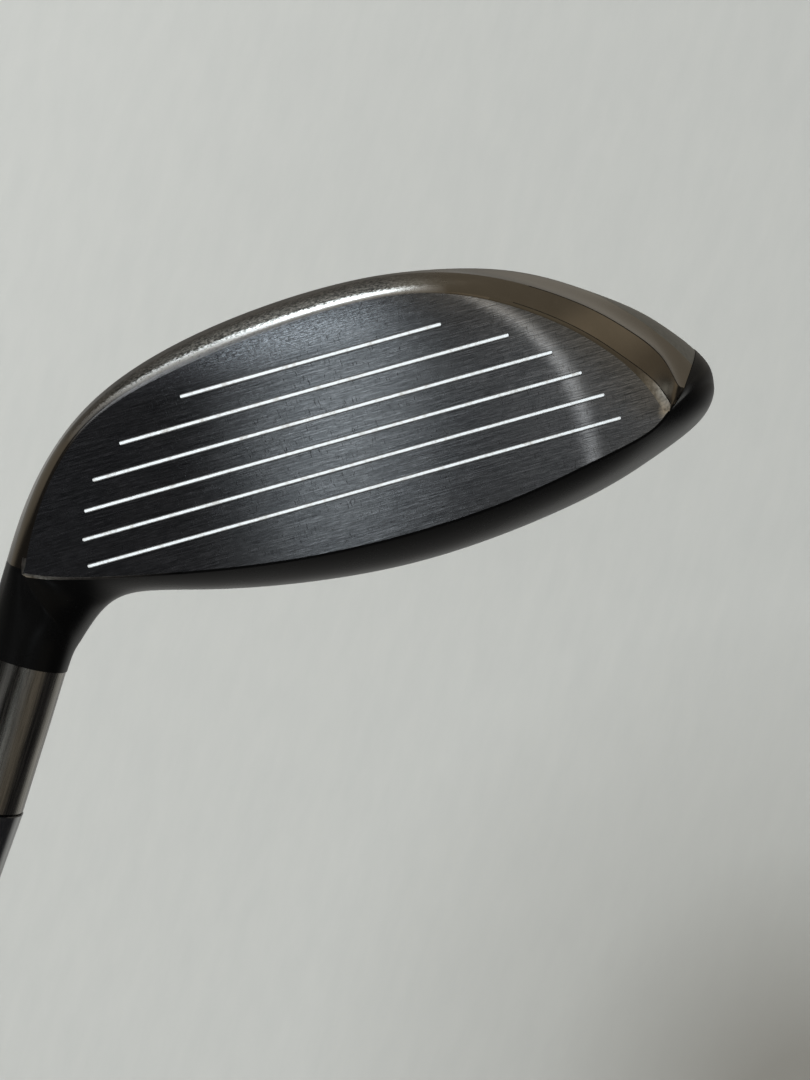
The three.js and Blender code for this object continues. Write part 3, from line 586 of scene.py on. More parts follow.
def in_groove(x, height):
    """Whether a point of the face is in a score line."""
    for middle, heel, toe in SCORE_LINES:
        near = np.clip(x, heel + SCORE_HALF_WIDTH, toe - SCORE_HALF_WIDTH)
        if math.hypot(x - near, height - middle) < SCORE_HALF_WIDTH:
            return True
    return False


def rolled_normals(points, outline):
    """Normals of the face, which rolls off a little towards its sole edge near the toe."""
    away = np.linalg.norm(points[:, None] - outline[None], axis=-1)
    ahead = unit(np.roll(outline, -1, 0) - np.roll(outline, 1, 0))[away.argmin(1)]
    out = np.stack([-ahead[:, 1], ahead[:, 0]], -1)
    tilt = ROLL_OFF * np.exp(-away.min(1) / ROLL_OFF_REACH)
    sole_side = np.clip(-ROLL_OFF_SIDE * out[:, 1], 0, 1)
    tilt = tilt * sole_side * smoothstep(*ROLL_OFF_START, points[:, 0])
    normals = face_normal(*points.T)
    normals[:, 0] += tilt * out[:, 0]
    return unit(normals + (tilt * out[:, 1])[:, None] * FACE_UP)


def face_patch(stations):
    """(points on the face as (x, height), triangles, the number of outline points, normals)."""
    mine = stations[(stations >= TOE_CORNER) & (stations <= HEEL_CORNER)]
    low, high = face_sole_edge(mine - TOE_CORNER), face_crown_edge(mine - TOE_CORNER)
    share = 0.3 + 0.7 * corner_ramp(mine)
    width = FACE_CHAMFER * np.array([*share * chamfer_growth(low[:, 0]), *share[-2:0:-1]])
    outline = inset_outline(np.array([*low, *high[-2:0:-1]]), width)
    points = [tuple(p) for p in outline]
    loops = [list(range(len(points)))]
    for line in SCORE_LINES:
        ring = capsule(*line)
        loops.append([len(points) + i for i in range(len(ring))])
        points += ring
    spread = np.array([(x, h) for x in FACE_X_STEPS for h in FACE_HEIGHT_STEPS])
    spread = spread[inside(spread, outline)]
    off_outlines = np.linalg.norm(spread[:, None] - np.array(points)[None], axis=-1).min(1)
    off_lines = abs(spread[:, 1:] - np.array(SCORE_LINES)[None, :, 0]).min(1)
    free = (off_outlines > CLEAR_OF_OUTLINE) & (off_lines > CLEAR_OF_LINE)
    points += [tuple(p) for p in spread[free]]
    triangles = triangulated(points, loops, clockwise=True)
    points = np.array(points)
    return points, triangles, len(outline), rolled_normals(points, outline)


# ---------------------------------------------------------------- the weight port

PORT_STEPS = 8  # steps of the CAD part's skin along a guide, at the port
PORT_SPAN = 0.15
PORT_ROUND = 96
PORT_CUT = 11.8  # the skin is redrawn within this radius of the port, down to this depth
PORT_CUT_DEPTH = 9
PORT_ABOVE = 12  # a height that is clear of the skin
PORT_CHAMFER = 0.35
PORT_TURNS = [2 * math.pi * k / PORT_ROUND for k in range(PORT_ROUND)]


def port_frame():
    """Where the port is, and the outward direction of the sole there, as in the CAD part."""

    def at(station, place):
        before = math.floor((place - 2) * PORT_STEPS)
        rings = np.array([[2 + before / PORT_STEPS, 2 + (before + 1) / PORT_STEPS]])
        low, high = skin([station], rings)[0]
        return low + (high - low) * ((place - 2) * PORT_STEPS - before)

    station, place, step = WEIGHT_STATION, WEIGHT_RING_PLACE, PORT_SPAN
    along = at(station + step, place) - at(station - step, place)
    across = at(station, place + step) - at(station, place - step)
    outward = unit(np.cross(along, across))
    return at(station, place), -outward if outward[2] > 0 else outward, unit(along)


PORT_PLACE, PORT_OUT, PORT_ALONG = port_frame()
PORT_ACROSS = np.cross(PORT_OUT, PORT_ALONG)
PORT_AXES = np.array([PORT_ALONG, PORT_ACROSS, PORT_OUT])


def port_point(radius, angle, height):
    across = PORT_ALONG * math.cos(angle) + PORT_ACROSS * math.sin(angle)
    return PORT_PLACE + across * radius + PORT_OUT * height


def in_port(points):
    """Points as (along, across, height) from the mouth of the port."""
    return (np.asarray(points) - PORT_PLACE) @ PORT_AXES.T


class Port:
    """The stepped walls of the port, its pilot hole and its boss, added to a piece."""

    def __init__(self, piece, slot):
        self.piece, self.slot = piece, slot

    def ring(self, name, radius, heights):
        """Corners of a ring about the port's axis, at one height or at one for each corner."""
        heights = np.broadcast_to(heights, PORT_ROUND)
        return [
            ((name, k), port_point(radius, angle, heights[k])) for k, angle in enumerate(PORT_TURNS)
        ]

    def quads(self, low, high):
        for k in range(PORT_ROUND):
            m = (k + 1) % PORT_ROUND
            yield [low[k], low[m], high[m], high[k]]

    def band(self, low, high, outwards):
        """A wall between two rings, which faces away from the axis or towards it."""
        for corners in self.quads(low, high):
            radial = in_port([point for _, point in corners]) * (1, 1, 0)
            normals = unit(radial) @ PORT_AXES
            if outwards:
                self.piece.polygon(corners, normals, self.slot)
            else:
                self.piece.polygon(corners[::-1], -normals[::-1], self.slot)

    def floor(self, outer, hole, up):
        """A flat ring, or a disc where hole is one corner."""
        normal = PORT_OUT if up else -PORT_OUT
        for corners in self.quads(outer, hole if len(hole) > 1 else hole * PORT_ROUND):
            corners = corners if len(hole) > 1 else corners[:3]
            self.piece.polygon(corners[:: 1 if up else -1], [normal] * len(corners), self.slot)

    def annulus(self, loop, ring, outwards):
        """Triangles between a ragged loop round the port and a ring inside it, both with
        (key, point, normal or None)."""
        corners = [*loop, *ring]
        flat = [tuple(p[:2]) for p in in_port([corner[1] for corner in corners])]
        loops = [list(range(len(loop))), list(range(len(loop), len(corners)))]
        for t in triangulated(flat, loops, clockwise=not outwards):
            if min(t) < len(loop):
                chosen = [corners[i] for i in t]
                normals = None if chosen[0][2] is None else [corner[2] for corner in chosen]
                self.piece.polygon([corner[:2] for corner in chosen], normals, self.slot)


def cut_port(piece, faces, points, normals, inner, slot):
    """Takes the casting's faces round the port out, and builds the port, its boss and pilot
    hole in their place. Returns the faces that stay."""
    local = in_port(points)
    near = (np.hypot(local[:, 0], local[:, 1]) < PORT_CUT) & (local[:, 2] > -PORT_CUT_DEPTH)
    gone = [f for f in faces if near[f].any()]
    loop = ordered(border(gone))[0]
    tree = BVHTree.FromPolygons([Vector(p) for p in points], gone)

    def on_skin(radius, angle):
        start = Vector(port_point(radius, angle, PORT_ABOVE))
        hit, _, face, _ = tree.ray_cast(start, Vector(-PORT_OUT))
        corners = gone[face]
        weights = 1 / (np.linalg.norm(points[corners] - np.array(hit), axis=1) + 1e-3) ** 2
        return np.array(hit), unit((normals[corners] * weights[:, None]).sum(0))

    port = Port(piece, slot)
    lip = [
        (("lip", k), *on_skin(PORT_RADIUS + PORT_CHAMFER, angle))
        for k, angle in enumerate(PORT_TURNS)
    ]
    port.annulus([(("o", i), points[i], normals[i]) for i in loop], lip, True)
    lip_ring = [corner[:2] for corner in lip]
    lip_heights = in_port([point for _, point in lip_ring])[:, 2]
    mouth = port.ring("mouth", PORT_RADIUS, lip_heights - PORT_CHAMFER)
    for corners in port.quads(lip_ring, mouth):
        piece.polygon(corners[3:] + corners[:3], None, slot)
    floor_edge = port.ring("floor", PORT_RADIUS, -PORT_DEPTH)
    pilot = port.ring("pilot", PILOT_RADIUS, -PORT_DEPTH)
    pilot_end = port.ring("pilot_end", PILOT_RADIUS, -PILOT_DEPTH)
    port.band(floor_edge, mouth, False)
    port.floor(floor_edge, pilot, True)
    port.band(pilot_end, pilot, False)
    port.floor(pilot_end, [("pilot_tip", port_point(0, 0, -PILOT_DEPTH - 1))], True)

    hidden = in_port(inner[loop])
    round_loop = np.arctan2(hidden[:, 1], hidden[:, 0])
    heights = np.interp(PORT_TURNS, round_loop, hidden[:, 2], period=2 * math.pi)
    boss = port.ring("boss", PORT_BOSS_RADIUS, heights)
    end = port.ring("boss_end", PORT_BOSS_RADIUS, -PORT_BOSS_DEPTH)
    port.annulus([(("i", i), inner[i], None) for i in loop], [(*c, None) for c in boss], False)
    port.band(end, boss, True)
    port.floor(end, [("boss_tip", port_point(0, 0, -PORT_BOSS_DEPTH))], False)
    return [f for f in faces if not near[f].any()]


# ---------------------------------------------------------------- the pieces of the head

EDGE_FROM_SOLE = 24  # the chamfer shows as a bright edge beyond these, on the sole and crown sides
EDGE_FROM_CROWN = -26
CHAMFER_LEVELS = [
    (-47.4, 22.5), (-30, 16), (0, 16), (30, 18), (40, 23.5), (43, 25), (44.5, 26.4), (44.9, 26.7),
]
HEAD_PIECES = {  # name, node, slot and the materials in order
    "casting": (
        "head_shell", "head_casting", "polished_steel",
        ["polished", "black", "neck", "edge", "seam", "satin"],
    ),
    "crown": ("crown_shell", "crown_plate", "black_paint", ["black", "polished", "neck"]),
    "face": (
        "face_shell", "face_plate", "face_steel",
        ["face", "polished", "black", "neck", "edge", "seam"],
    ),
}


def chamfer_level(x):
    """Height up the face that parts its crown edge from its sole edge at x."""
    return np.interp(x, *zip(*CHAMFER_LEVELS, strict=True))


def skin_look(centre, station, ring, seam):
    """(piece, material) of a face of the skin. Beyond ring 2, the rim, is the sole's side."""
    up = (centre - HOSEL_ROOT) @ HOSEL_DIRECTION
    toe = centre @ TOE_PLANE_NORMAL
    facet = centre @ TOE_FACET_NORMAL - TOE_FACET_DISTANCE
    if up > PAINT_UP_HOSEL:
        look = "neck"
    elif ring < 2 or toe > TOE_PLANE_DISTANCE - STEP_WIDTH or up > PAINT_HEEL:
        look = "black"
    elif on_facet(station, ring) and facet > 0:
        look = "satin" if facet > SEAM else "edge"
    elif seam and TOE_CORNER < station < SEAM_END:
        look = "seam"
    else:
        look = "polished"
    if TOE_CORNER < station < HEEL_CORNER and not FACE_STRIP[0] <= ring <= FACE_STRIP[1]:
        return "face", look
    on_crown = ring < 2 and CROWN_STATIONS[0] < station < CROWN_STATIONS[1]
    return "crown" if toe > TOE_PLANE_DISTANCE or on_crown else "casting", look


def chamfer_faces(opening, line, partner):
    """Faces between the border of the skin's opening and its partners on the face."""
    start = next(i for i, k in enumerate(opening) if k in line)
    opening = opening[start:] + opening[:start]
    faces, run = [], [opening[0]]
    for k in [*opening[1:], opening[0]]:
        run.append(k)
        if k in line:
            faces.append([*run[::-1], *dict.fromkeys([partner(run[0]), partner(k)])])
            run = [k]
    return faces


def add_grooves(piece, bottoms, points, inner, flat, first):
    """The bottoms and walls of the score lines, with the inside of the face behind them."""
    used = sorted({i for t in bottoms for i in t})
    deep = {i: (("groove", i), face_point(*flat[i - first], -SCORE_DEPTH)) for i in used}
    for t in bottoms:
        piece.polygon([deep[i] for i in t])
        piece.polygon([(("i", i), inner[i]) for i in t[::-1]])
    for a, b in border(bottoms):
        piece.polygon([(("o", a), points[a]), (("o", b), points[b]), deep[b], deep[a]])


def head_pieces(materials):
    bm, layers, face_place, stations, line = body_grid()
    verts = list(bm.verts)
    points = np.array([v.co[:] for v in verts])
    normals, inner, places = (
        np.array([v[layers[name]][:] for v in verts]) for name in ("normal", "inner", "place")
    )
    normals = unit(normals)
    faces = [[v.index for v in f.verts] for f in bm.faces]
    face_places = [f[face_place][:] for f in bm.faces]
    bm.free()

    # Steel stands a paint's thickness below the paint, and comes level away from its edge.
    up = (points - HOSEL_ROOT) @ HOSEL_DIRECTION
    toe = points @ TOE_PLANE_NORMAL
    axis = HOSEL_ROOT + up[:, None] * HOSEL_DIRECTION
    bare = (up > PAINT_UP_HOSEL + STEP_WIDTH / 2) & (places[:, 0] > HOSEL_FROM)
    points = points + np.where(bare, PAINT_THICKNESS, 0)[:, None] * unit(axis - points)
    band = (toe < TOE_PLANE_DISTANCE - STEP_WIDTH / 2) & (places[:, 0] < TOE_STATIONS)
    fade = np.exp(-np.clip(TOE_PLANE_DISTANCE - toe, 0, None) / STEP_FADE)
    drop = PAINT_THICKNESS * fade * np.interp(places[:, 1], STEP_RINGS, (0, 1, 1, 0))
    points = points - np.where(band, drop, 0)[:, None] * normals

    sheets = {name: [] for name in HEAD_PIECES}
    looks = {}
    for f, place in zip(faces, face_places, strict=True):
        name, looks[tuple(f)] = skin_look(points[f].mean(0), *place)
        sheets[name].append(f)

    # The face's own mesh joins the skin's vertices, behind them in number.
    first = len(points)
    flat, triangles, outline, face_normals = face_patch(stations)
    middle = middles(np.linspace(1, 12, 60))
    middle = middle[np.argsort(middle[:, 0])]
    spine = np.stack([np.interp(flat[:, 0], middle[:, 0], middle[:, i]) for i in range(3)], -1)
    on_face = face_point(*flat.T)
    points = np.vstack([points, on_face])
    normals = np.vstack([normals, face_normals])
    inner = np.vstack([inner, on_face + FACE_SHELL * unit(spine - on_face)])
    triangles = [[first + i for i in t] for t in triangles]

    def partner(k):
        i, on_sole = line[k]
        return first + (i if on_sole else -i % outline)

    openings = ordered(border(faces))
    opening = next(loop for loop in openings if sum(k in line for k in loop) > len(loop) / 2)
    chamfer = chamfer_faces(opening, line, partner)

    def add(piece, f, slot, smooth=True):
        piece.polygon([(("o", i), points[i]) for i in f], normals[f] if smooth else None, slot)
        piece.polygon([(("i", i), inner[i]) for i in f[::-1]], None, 0)

    for key, sheet in sheets.items():
        name, node, slot, order = HEAD_PIECES[key]
        piece = Piece(name, [materials[look] for look in order])
        kept = sheet
        if key == "casting":
            kept = cut_port(piece, sheet, points, normals, inner, order.index("polished"))
        for f in kept:
            from_step = (points[f].mean(0) - HOSEL_ROOT) @ HOSEL_DIRECTION - PAINT_UP_HOSEL
            on_step = abs(from_step - STEP_WIDTH / 2) < STEP_WIDTH / 2 * 0.99
            add(piece, f, order.index(looks[tuple(f)]), not on_step)
        if key == "face":
            for f in chamfer:
                centre = points[f].mean(0)
                x = centre[0]
                look = "edge" if x > EDGE_FROM_SOLE else "polished"
                if (centre - LEADING_EDGE) @ FACE_UP > chamfer_level(x):
                    look = "edge" if x < EDGE_FROM_CROWN else "black"
                add(piece, f, order.index(look))
            bottoms = []
            for t in triangles:
                if in_groove(*flat[[i - first for i in t]].mean(0)):
                    bottoms.append(t)
                else:
                    add(piece, t, 0)
            add_grooves(piece, bottoms, points, inner, flat, first)
            sheet = [*sheet, *chamfer, *triangles]
        for a, b in border(sheet):
            corners = [(("o", b), points[b]), (("o", a), points[a])]
            piece.polygon([*corners, (("i", a), inner[a]), (("i", b), inner[b])])
        made = piece.build()
        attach(made, "club")
        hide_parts(node)


# ---------------------------------------------------------------- turned pieces

SHARP_ANGLE = math.radians(40)
SHAFT_BUTT_Z = 6
SHAFT_TIP_Z = HEAD_Z - 0.5
SHAFT_BUTT_RADIUS = 7.6
SHAFT_TIP_RADIUS = 4.7
SHAFT_TAPER = (140, SHAFT_TIP_Z - 110)
SHAFT_WALLS = (1.3, 1.8)  # at the butt and at the tip
SHAFT_MARKS = [(300, 306), (308.5, 309.7), (312, 313.2), (930, 931.5), (934, 935)]
MARK_HEIGHT = 0.03
MARK_BEVEL = 0.04
MARK_CLEAR = 3
HOSEL_END_Z = HEAD_Z - HOSEL_LENGTH
FERRULE_LENGTH = 24
FERRULE_END_RADIUS = 4.95
FERRULE_FLARE = 1.4
FERRULE_RINGS = (0.12, 0.2)  # places of two turned rings, as shares of its length
FERRULE_RING_DEPTH = 0.18
FERRULE_RING_HALF = 0.15
GRIP_LENGTH = 270
GRIP_PROFILE = [(13.4, 5.3), (12.5, 30), (11.6, 75), (10.4, 150), (9.2, 220), (8.3, GRIP_LENGTH)]
GRIP_BORE_GAP = 0.4
GRIP_CAP_RADIUS = 16
GRIP_CAP_HEIGHT = 5
GRIP_CAP_EDGE = 2
GRIP_CAP_END = [  # moulded steps of the cap's end, as (radius, z)
    (7.6, 0), (8.0, 0.4), (9.0, 0.4), (9.4, 0), (12.4, 0), (12.7, 0.3), (13.1, 0.3), (13.4, 0),
]
GRIP_VENT_RADIUS = 1.5
TREAD_DEPTH = 0.38
TREAD_ROUND = 16  # diamonds round the grip
TREAD_PITCH = 6.5
TREAD_RING_PITCH = 3.2
TREAD_DIAMONDS = [(24, 119, 1), (147, 252, 1)]  # stretches as (start, end, fade)
TREAD_RINGS = [(124, 142, 0.6), (256, 265, 0.5)]
SCREW_HEAD_RADIUS = 7.6
SCREW_HEAD_TOP = -0.7
SCREW_SHOULDER = -4.7
SCREW_STEM_RADIUS = 2.95
SCREW_STEM_END = -11.7
SCREW_DRIVE_RADIUS = 2.6
SCREW_DRIVE_DEPTH = 2.6
SCREW_DRIVE_LOBE = 0.14
THREAD_PITCH = 0.8
THREAD_DEPTH = 0.35
WASHER_RADII = (3.25, 7.2)
WASHER_HEIGHTS = (-5.7, -4.9)


def lathe(name, node, outline, materials, body="club", steps=96, bulge=None, place=None):
    """A closed solid of revolution about +Z that stands for a node, from a closed outline of
    (radius, z) or (radius, z, material) in millimetres. bulge(radius, z, angle) moves a corner
    in or out, and place is a matrix in metres."""
    slots = [int(corner[2]) if len(corner) > 2 else 0 for corner in outline]
    outline = np.array([corner[:2] for corner in outline], float)
    n = len(outline)
    angles = np.linspace(0, 2 * math.pi, steps, endpoint=False)
    ring, height = (np.repeat(outline[:, i : i + 1], steps, 1) for i in (0, 1))
    if bulge is not None:
        ring = ring + bulge(ring, height, np.tile(angles, (n, 1)))
    points = np.stack([ring * np.cos(angles), ring * np.sin(angles), height], -1).reshape(-1, 3)
    index = np.arange(n * steps).reshape(n, steps)
    index[outline[:, 0] < 1e-6] = index[outline[:, 0] < 1e-6, :1]
    index = np.vstack([index, index[:1]])
    index = np.hstack([index, index[:, :1]])
    polygons, chosen = [], []
    for i in range(n):
        for k in range(steps):
            loop = (index[i, k], index[i, k + 1], index[i + 1, k + 1], index[i + 1, k])
            corners = list(dict.fromkeys(map(int, loop)))
            if len(corners) > 2:
                polygons.append(corners)
                chosen.append(slots[i])
    used, back = np.unique(np.concatenate(polygons), return_inverse=True)
    back = iter(back.tolist())
    mesh = bpy.data.meshes.new(name)
    mesh.from_pydata((points[used] * MM).tolist(), [], [[next(back) for _ in f] for f in polygons])
    mesh.polygons.foreach_set("material_index", chosen)
    for material in materials:
        mesh.materials.append(material)
    fixed = bmesh.new()
    fixed.from_mesh(mesh)
    bmesh.ops.recalc_face_normals(fixed, faces=fixed.faces)
    if place is not None:
        fixed.transform(place)
    fixed.to_mesh(mesh)
    fixed.free()
    mesh.shade_smooth()
    mesh.set_sharp_from_angle(angle=SHARP_ANGLE)
    made = linked(name, mesh)
    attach(made, body)
    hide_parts(node)


def rounded(corners, radius, steps=4):
    """An outline with each corner of (radius, z) rounded off."""
    corners = np.array(corners, float)
    found = []
    for i, corner in enumerate(corners):
        before, after = corners[i - 1] - corner, corners[(i + 1) % len(corners)] - corner
        reach = min(radius, np.linalg.norm(before) / 2, np.linalg.norm(after) / 2)
        for t in np.linspace(0, 1, steps + 1):
            a, b = corner + unit(before) * reach, corner + unit(after) * reach
            found.append(a * (1 - t) ** 2 + corner * 2 * t * (1 - t) + b * t**2)
    return found


def shaft_radius(z):
    return np.interp(z, SHAFT_TAPER, (SHAFT_BUTT_RADIUS, SHAFT_TIP_RADIUS))


def shaft_piece(materials):
    """The tube, with thin painted rings that stand a little proud."""
    heights = sorted({*np.linspace(SHAFT_BUTT_Z, SHAFT_TIP_Z, 60), *SHAFT_TAPER})
    ends = [end for mark in SHAFT_MARKS for end in mark]
    clear = [z for z in heights if all(abs(z - end) > MARK_CLEAR for end in ends)]
    outside = [(shaft_radius(z), z, 0) for z in clear]
    for low, high in SHAFT_MARKS:
        r = shaft_radius(low)
        proud = r + MARK_HEIGHT
        outside += [(r, low, 1), (proud, low + MARK_BEVEL, 1), (proud, high - MARK_BEVEL, 1)]
        outside.append((r, high, 0))
    outside.sort(key=lambda corner: corner[1])
    places = [(SHAFT_WALLS[1], z) for z in (SHAFT_TIP_Z, SHAFT_TAPER[1])]
    places += [(SHAFT_WALLS[0], z) for z in (SHAFT_TAPER[0], SHAFT_BUTT_Z)]
    inside = [(shaft_radius(z) - wall, z, 0) for wall, z in places]
    lathe("shaft_tube", "shaft", [*outside, *inside], materials)


def ferrule_piece(material):
    top, bottom = HOSEL_END_Z - 0.3, HOSEL_END_Z - FERRULE_LENGTH
    bore = SHAFT_TIP_RADIUS + 0.08

    def corner(t):
        flare = (HOSEL_END_RADIUS - FERRULE_END_RADIUS) * t**FERRULE_FLARE
        return FERRULE_END_RADIUS + flare, bottom + (top - bottom) * t

    outside = [corner(t) for t in np.linspace(0, 1, 25)]
    for r, z in map(corner, FERRULE_RINGS):
        deep, half = r - FERRULE_RING_DEPTH, FERRULE_RING_HALF
        outside = [p for p in outside if abs(p[1] - z) > 3 * half]
        outside += [(r, z - 2 * half), (deep, z - half), (deep, z + half), (r, z + 2 * half)]
    outside.sort(key=lambda p: p[1])
    outside[-1:] = [(outside[-1][0], top - 0.12), (outside[-1][0] - 0.12, top)]
    outline = [(bore, bottom), *outside, (bore, top)]
    lathe("ferrule_collar", "ferrule", outline, [material])


def tread(radius, z, angle):
    """Moulded grooves of the grip, as a change of its radius."""

    def grooves(phase, width):
        return np.exp(-(((phase - np.round(phase)) / width) ** 2))

    def within(zones):
        ends = [(smoothstep(a, a + f, z), smoothstep(b, b - f, z)) for a, b, f in zones]
        return sum(start * end for start, end in ends)

    around = TREAD_ROUND * angle / (2 * math.pi)
    lean = z / TREAD_PITCH
    diamonds = np.maximum(grooves(around + lean, 0.1), grooves(around - lean, 0.1))
    rings = grooves(z / TREAD_RING_PITCH, 0.16)
    depth = diamonds * within(TREAD_DIAMONDS) + rings * within(TREAD_RINGS)
    outside = radius > shaft_radius(z) + 1.5 * GRIP_BORE_GAP
    return np.where(outside, -TREAD_DEPTH * np.minimum(depth, 1), 0)


def grip_pieces(sleeve_material, cap_material):
    low = GRIP_PROFILE[0][1]
    places = spline_through(GRIP_PROFILE)(np.linspace(0, len(GRIP_PROFILE) - 1, 2000))
    heights = np.linspace(low, GRIP_LENGTH, 430)
    outside = [(np.interp(z, places[:, 1], places[:, 0]), z) for z in heights]
    end = outside[-1][0]
    outside[-2:] = [(end - a, GRIP_LENGTH - b) for a, b in ((0, 0.5), (0.15, 0.15), (0.5, 0))]
    bore = (GRIP_LENGTH, SHAFT_TAPER[0], low)
    inside = [(shaft_radius(z) + GRIP_BORE_GAP, z) for z in bore]
    outline = [*outside, *inside]
    lathe(
        "grip_rubber", "grip_sleeve", outline, [sleeve_material],
        steps=160, bulge=tread,
    )

    corners, edge = [(GRIP_VENT_RADIUS, 0), *GRIP_CAP_END], GRIP_CAP_EDGE
    for middle, first in ((edge, -90), (GRIP_CAP_HEIGHT - edge, 0)):
        for turn in np.radians(np.linspace(first, first + 90, 13)):
            across = GRIP_CAP_RADIUS - edge + edge * math.cos(turn)
            corners.append((across, middle + edge * math.sin(turn)))
    corners.append((GRIP_VENT_RADIUS, GRIP_CAP_HEIGHT))
    lathe("grip_end", "grip_cap", corners, [cap_material], steps=128)


def weight_pieces(screw_material, washer_material):
    place = placed(PORT_PLACE, PORT_ALONG, PORT_ACROSS, PORT_OUT)
    head, top = SCREW_HEAD_RADIUS, SCREW_HEAD_TOP
    drive, drive_floor = SCREW_DRIVE_RADIUS, SCREW_HEAD_TOP - SCREW_DRIVE_DEPTH
    stem, shoulder = SCREW_STEM_RADIUS, SCREW_SHOULDER
    thread = []
    for z in np.arange(SCREW_STEM_END + 0.7, shoulder - 1.4, THREAD_PITCH):
        thread += [(stem, z), (stem - THREAD_DEPTH, z + THREAD_PITCH / 2)]
    outline = [(0, SCREW_STEM_END), (stem - 0.6, SCREW_STEM_END), *thread]
    outline += [(stem, shoulder - 1), (stem, shoulder), (head - 0.2, shoulder)]
    outline += [(head, shoulder + 0.2), (head, top - 0.6), (head - 0.18, top - 0.18)]
    outline += [(head - 0.6, top), (5.6, top), (5.45, top - 0.12), (5.15, top - 0.12), (5, top)]
    outline += [(drive + 0.15, top), (drive, top - 0.15), (drive, drive_floor)]
    outline.append((0, drive_floor - 0.5))

    def lobes(radius, z, angle):
        wall = (abs(radius - drive) < 0.2) & (z > drive_floor - 0.1)
        return np.where(wall, SCREW_DRIVE_LOBE * drive * np.cos(6 * angle), 0)

    lathe(
        "sole_screw", "weight_screw", outline, [screw_material], "screw",
        bulge=lobes, place=place,
    )
    (inner, outer), (low, high) = WASHER_RADII, WASHER_HEIGHTS
    corners = rounded([(inner, low), (outer, low), (outer, high), (inner, high)], 0.2)
    lathe(
        "sole_washer", "weight_washer", corners, [washer_material], "washer",
        place=place,
    )


# ---------------------------------------------------------------- materials


class Output:
    """A node's output; arithmetic on it adds the nodes that work it out."""

    def __init__(self, nodes, socket):
        self.nodes, self.socket = nodes, socket

    def math(self, operation, *others):
        return self.nodes.add("Math", self, *others, operation=operation)

    def __add__(self, other):
        return self.math("ADD", other)

    def __sub__(self, other):
        return self.math("SUBTRACT", other)

    def __rsub__(self, other):
        return self * -1 + other

    def __mul__(self, other):
        return self.math("MULTIPLY", other)

    def __pow__(self, other):
        return self.math("POWER", other)

    def __abs__(self):
        return self.math("ABSOLUTE")

    def bell(self):
        """One where this is nought, and less to either side."""
        return (self * self * -1).math("EXPONENT")

    def ramp(self, *stops):
        """A colour or number that runs through (place, value) stops."""
        node = self.nodes.tree.nodes.new("ShaderNodeValToRGB")
        self.nodes.put(node.inputs[0], self)
        elements = node.color_ramp.elements
        while len(elements) < len(stops):
            elements.new(0.5)
        for element, (place, value) in zip(elements, stops, strict=True):
            element.position = place
            element.color = (*(value if isinstance(value, tuple) else (value,) * 3), 1)
        return Output(self.nodes, node.outputs[0])


class Nodes:
    """A node tree, with short ways to add to it."""

    def __init__(self, tree):
        self.tree = tree

    def put(self, socket, value):
        if isinstance(value, Output):
            self.tree.links.new(value.socket, socket)
        elif socket.type == "RGBA":
            socket.default_value = (*value, 1)
        elif socket.type == "VECTOR":
            socket.default_value = [float(x) for x in value]
        else:
            socket.default_value = value

    def add(self, kind, *values, operation=None, output=0, **named):
        """The output of a new node, whose first inputs take the values in order."""
        node = self.tree.nodes.new("ShaderNode" + kind)
        if operation:
            node.operation = operation
        for socket, value in zip(node.inputs, values, strict=False):
            self.put(socket, value)
        for name, value in named.items():
            self.put(node.inputs[name], value)
        return Output(self, node.outputs[output])

    def measure(self, operation, a, b):
        """A number that VectorMath makes of two vectors."""
        return self.add("VectorMath", a, b, operation=operation, output="Value")

    def mix(self, factor, a, b):
        node = self.tree.nodes.new("ShaderNodeMix")
        node.data_type = "RGBA"
        for i, value in ((0, factor), (6, a), (7, b)):
            self.put(node.inputs[i], value)
        return Output(self, node.outputs[2])


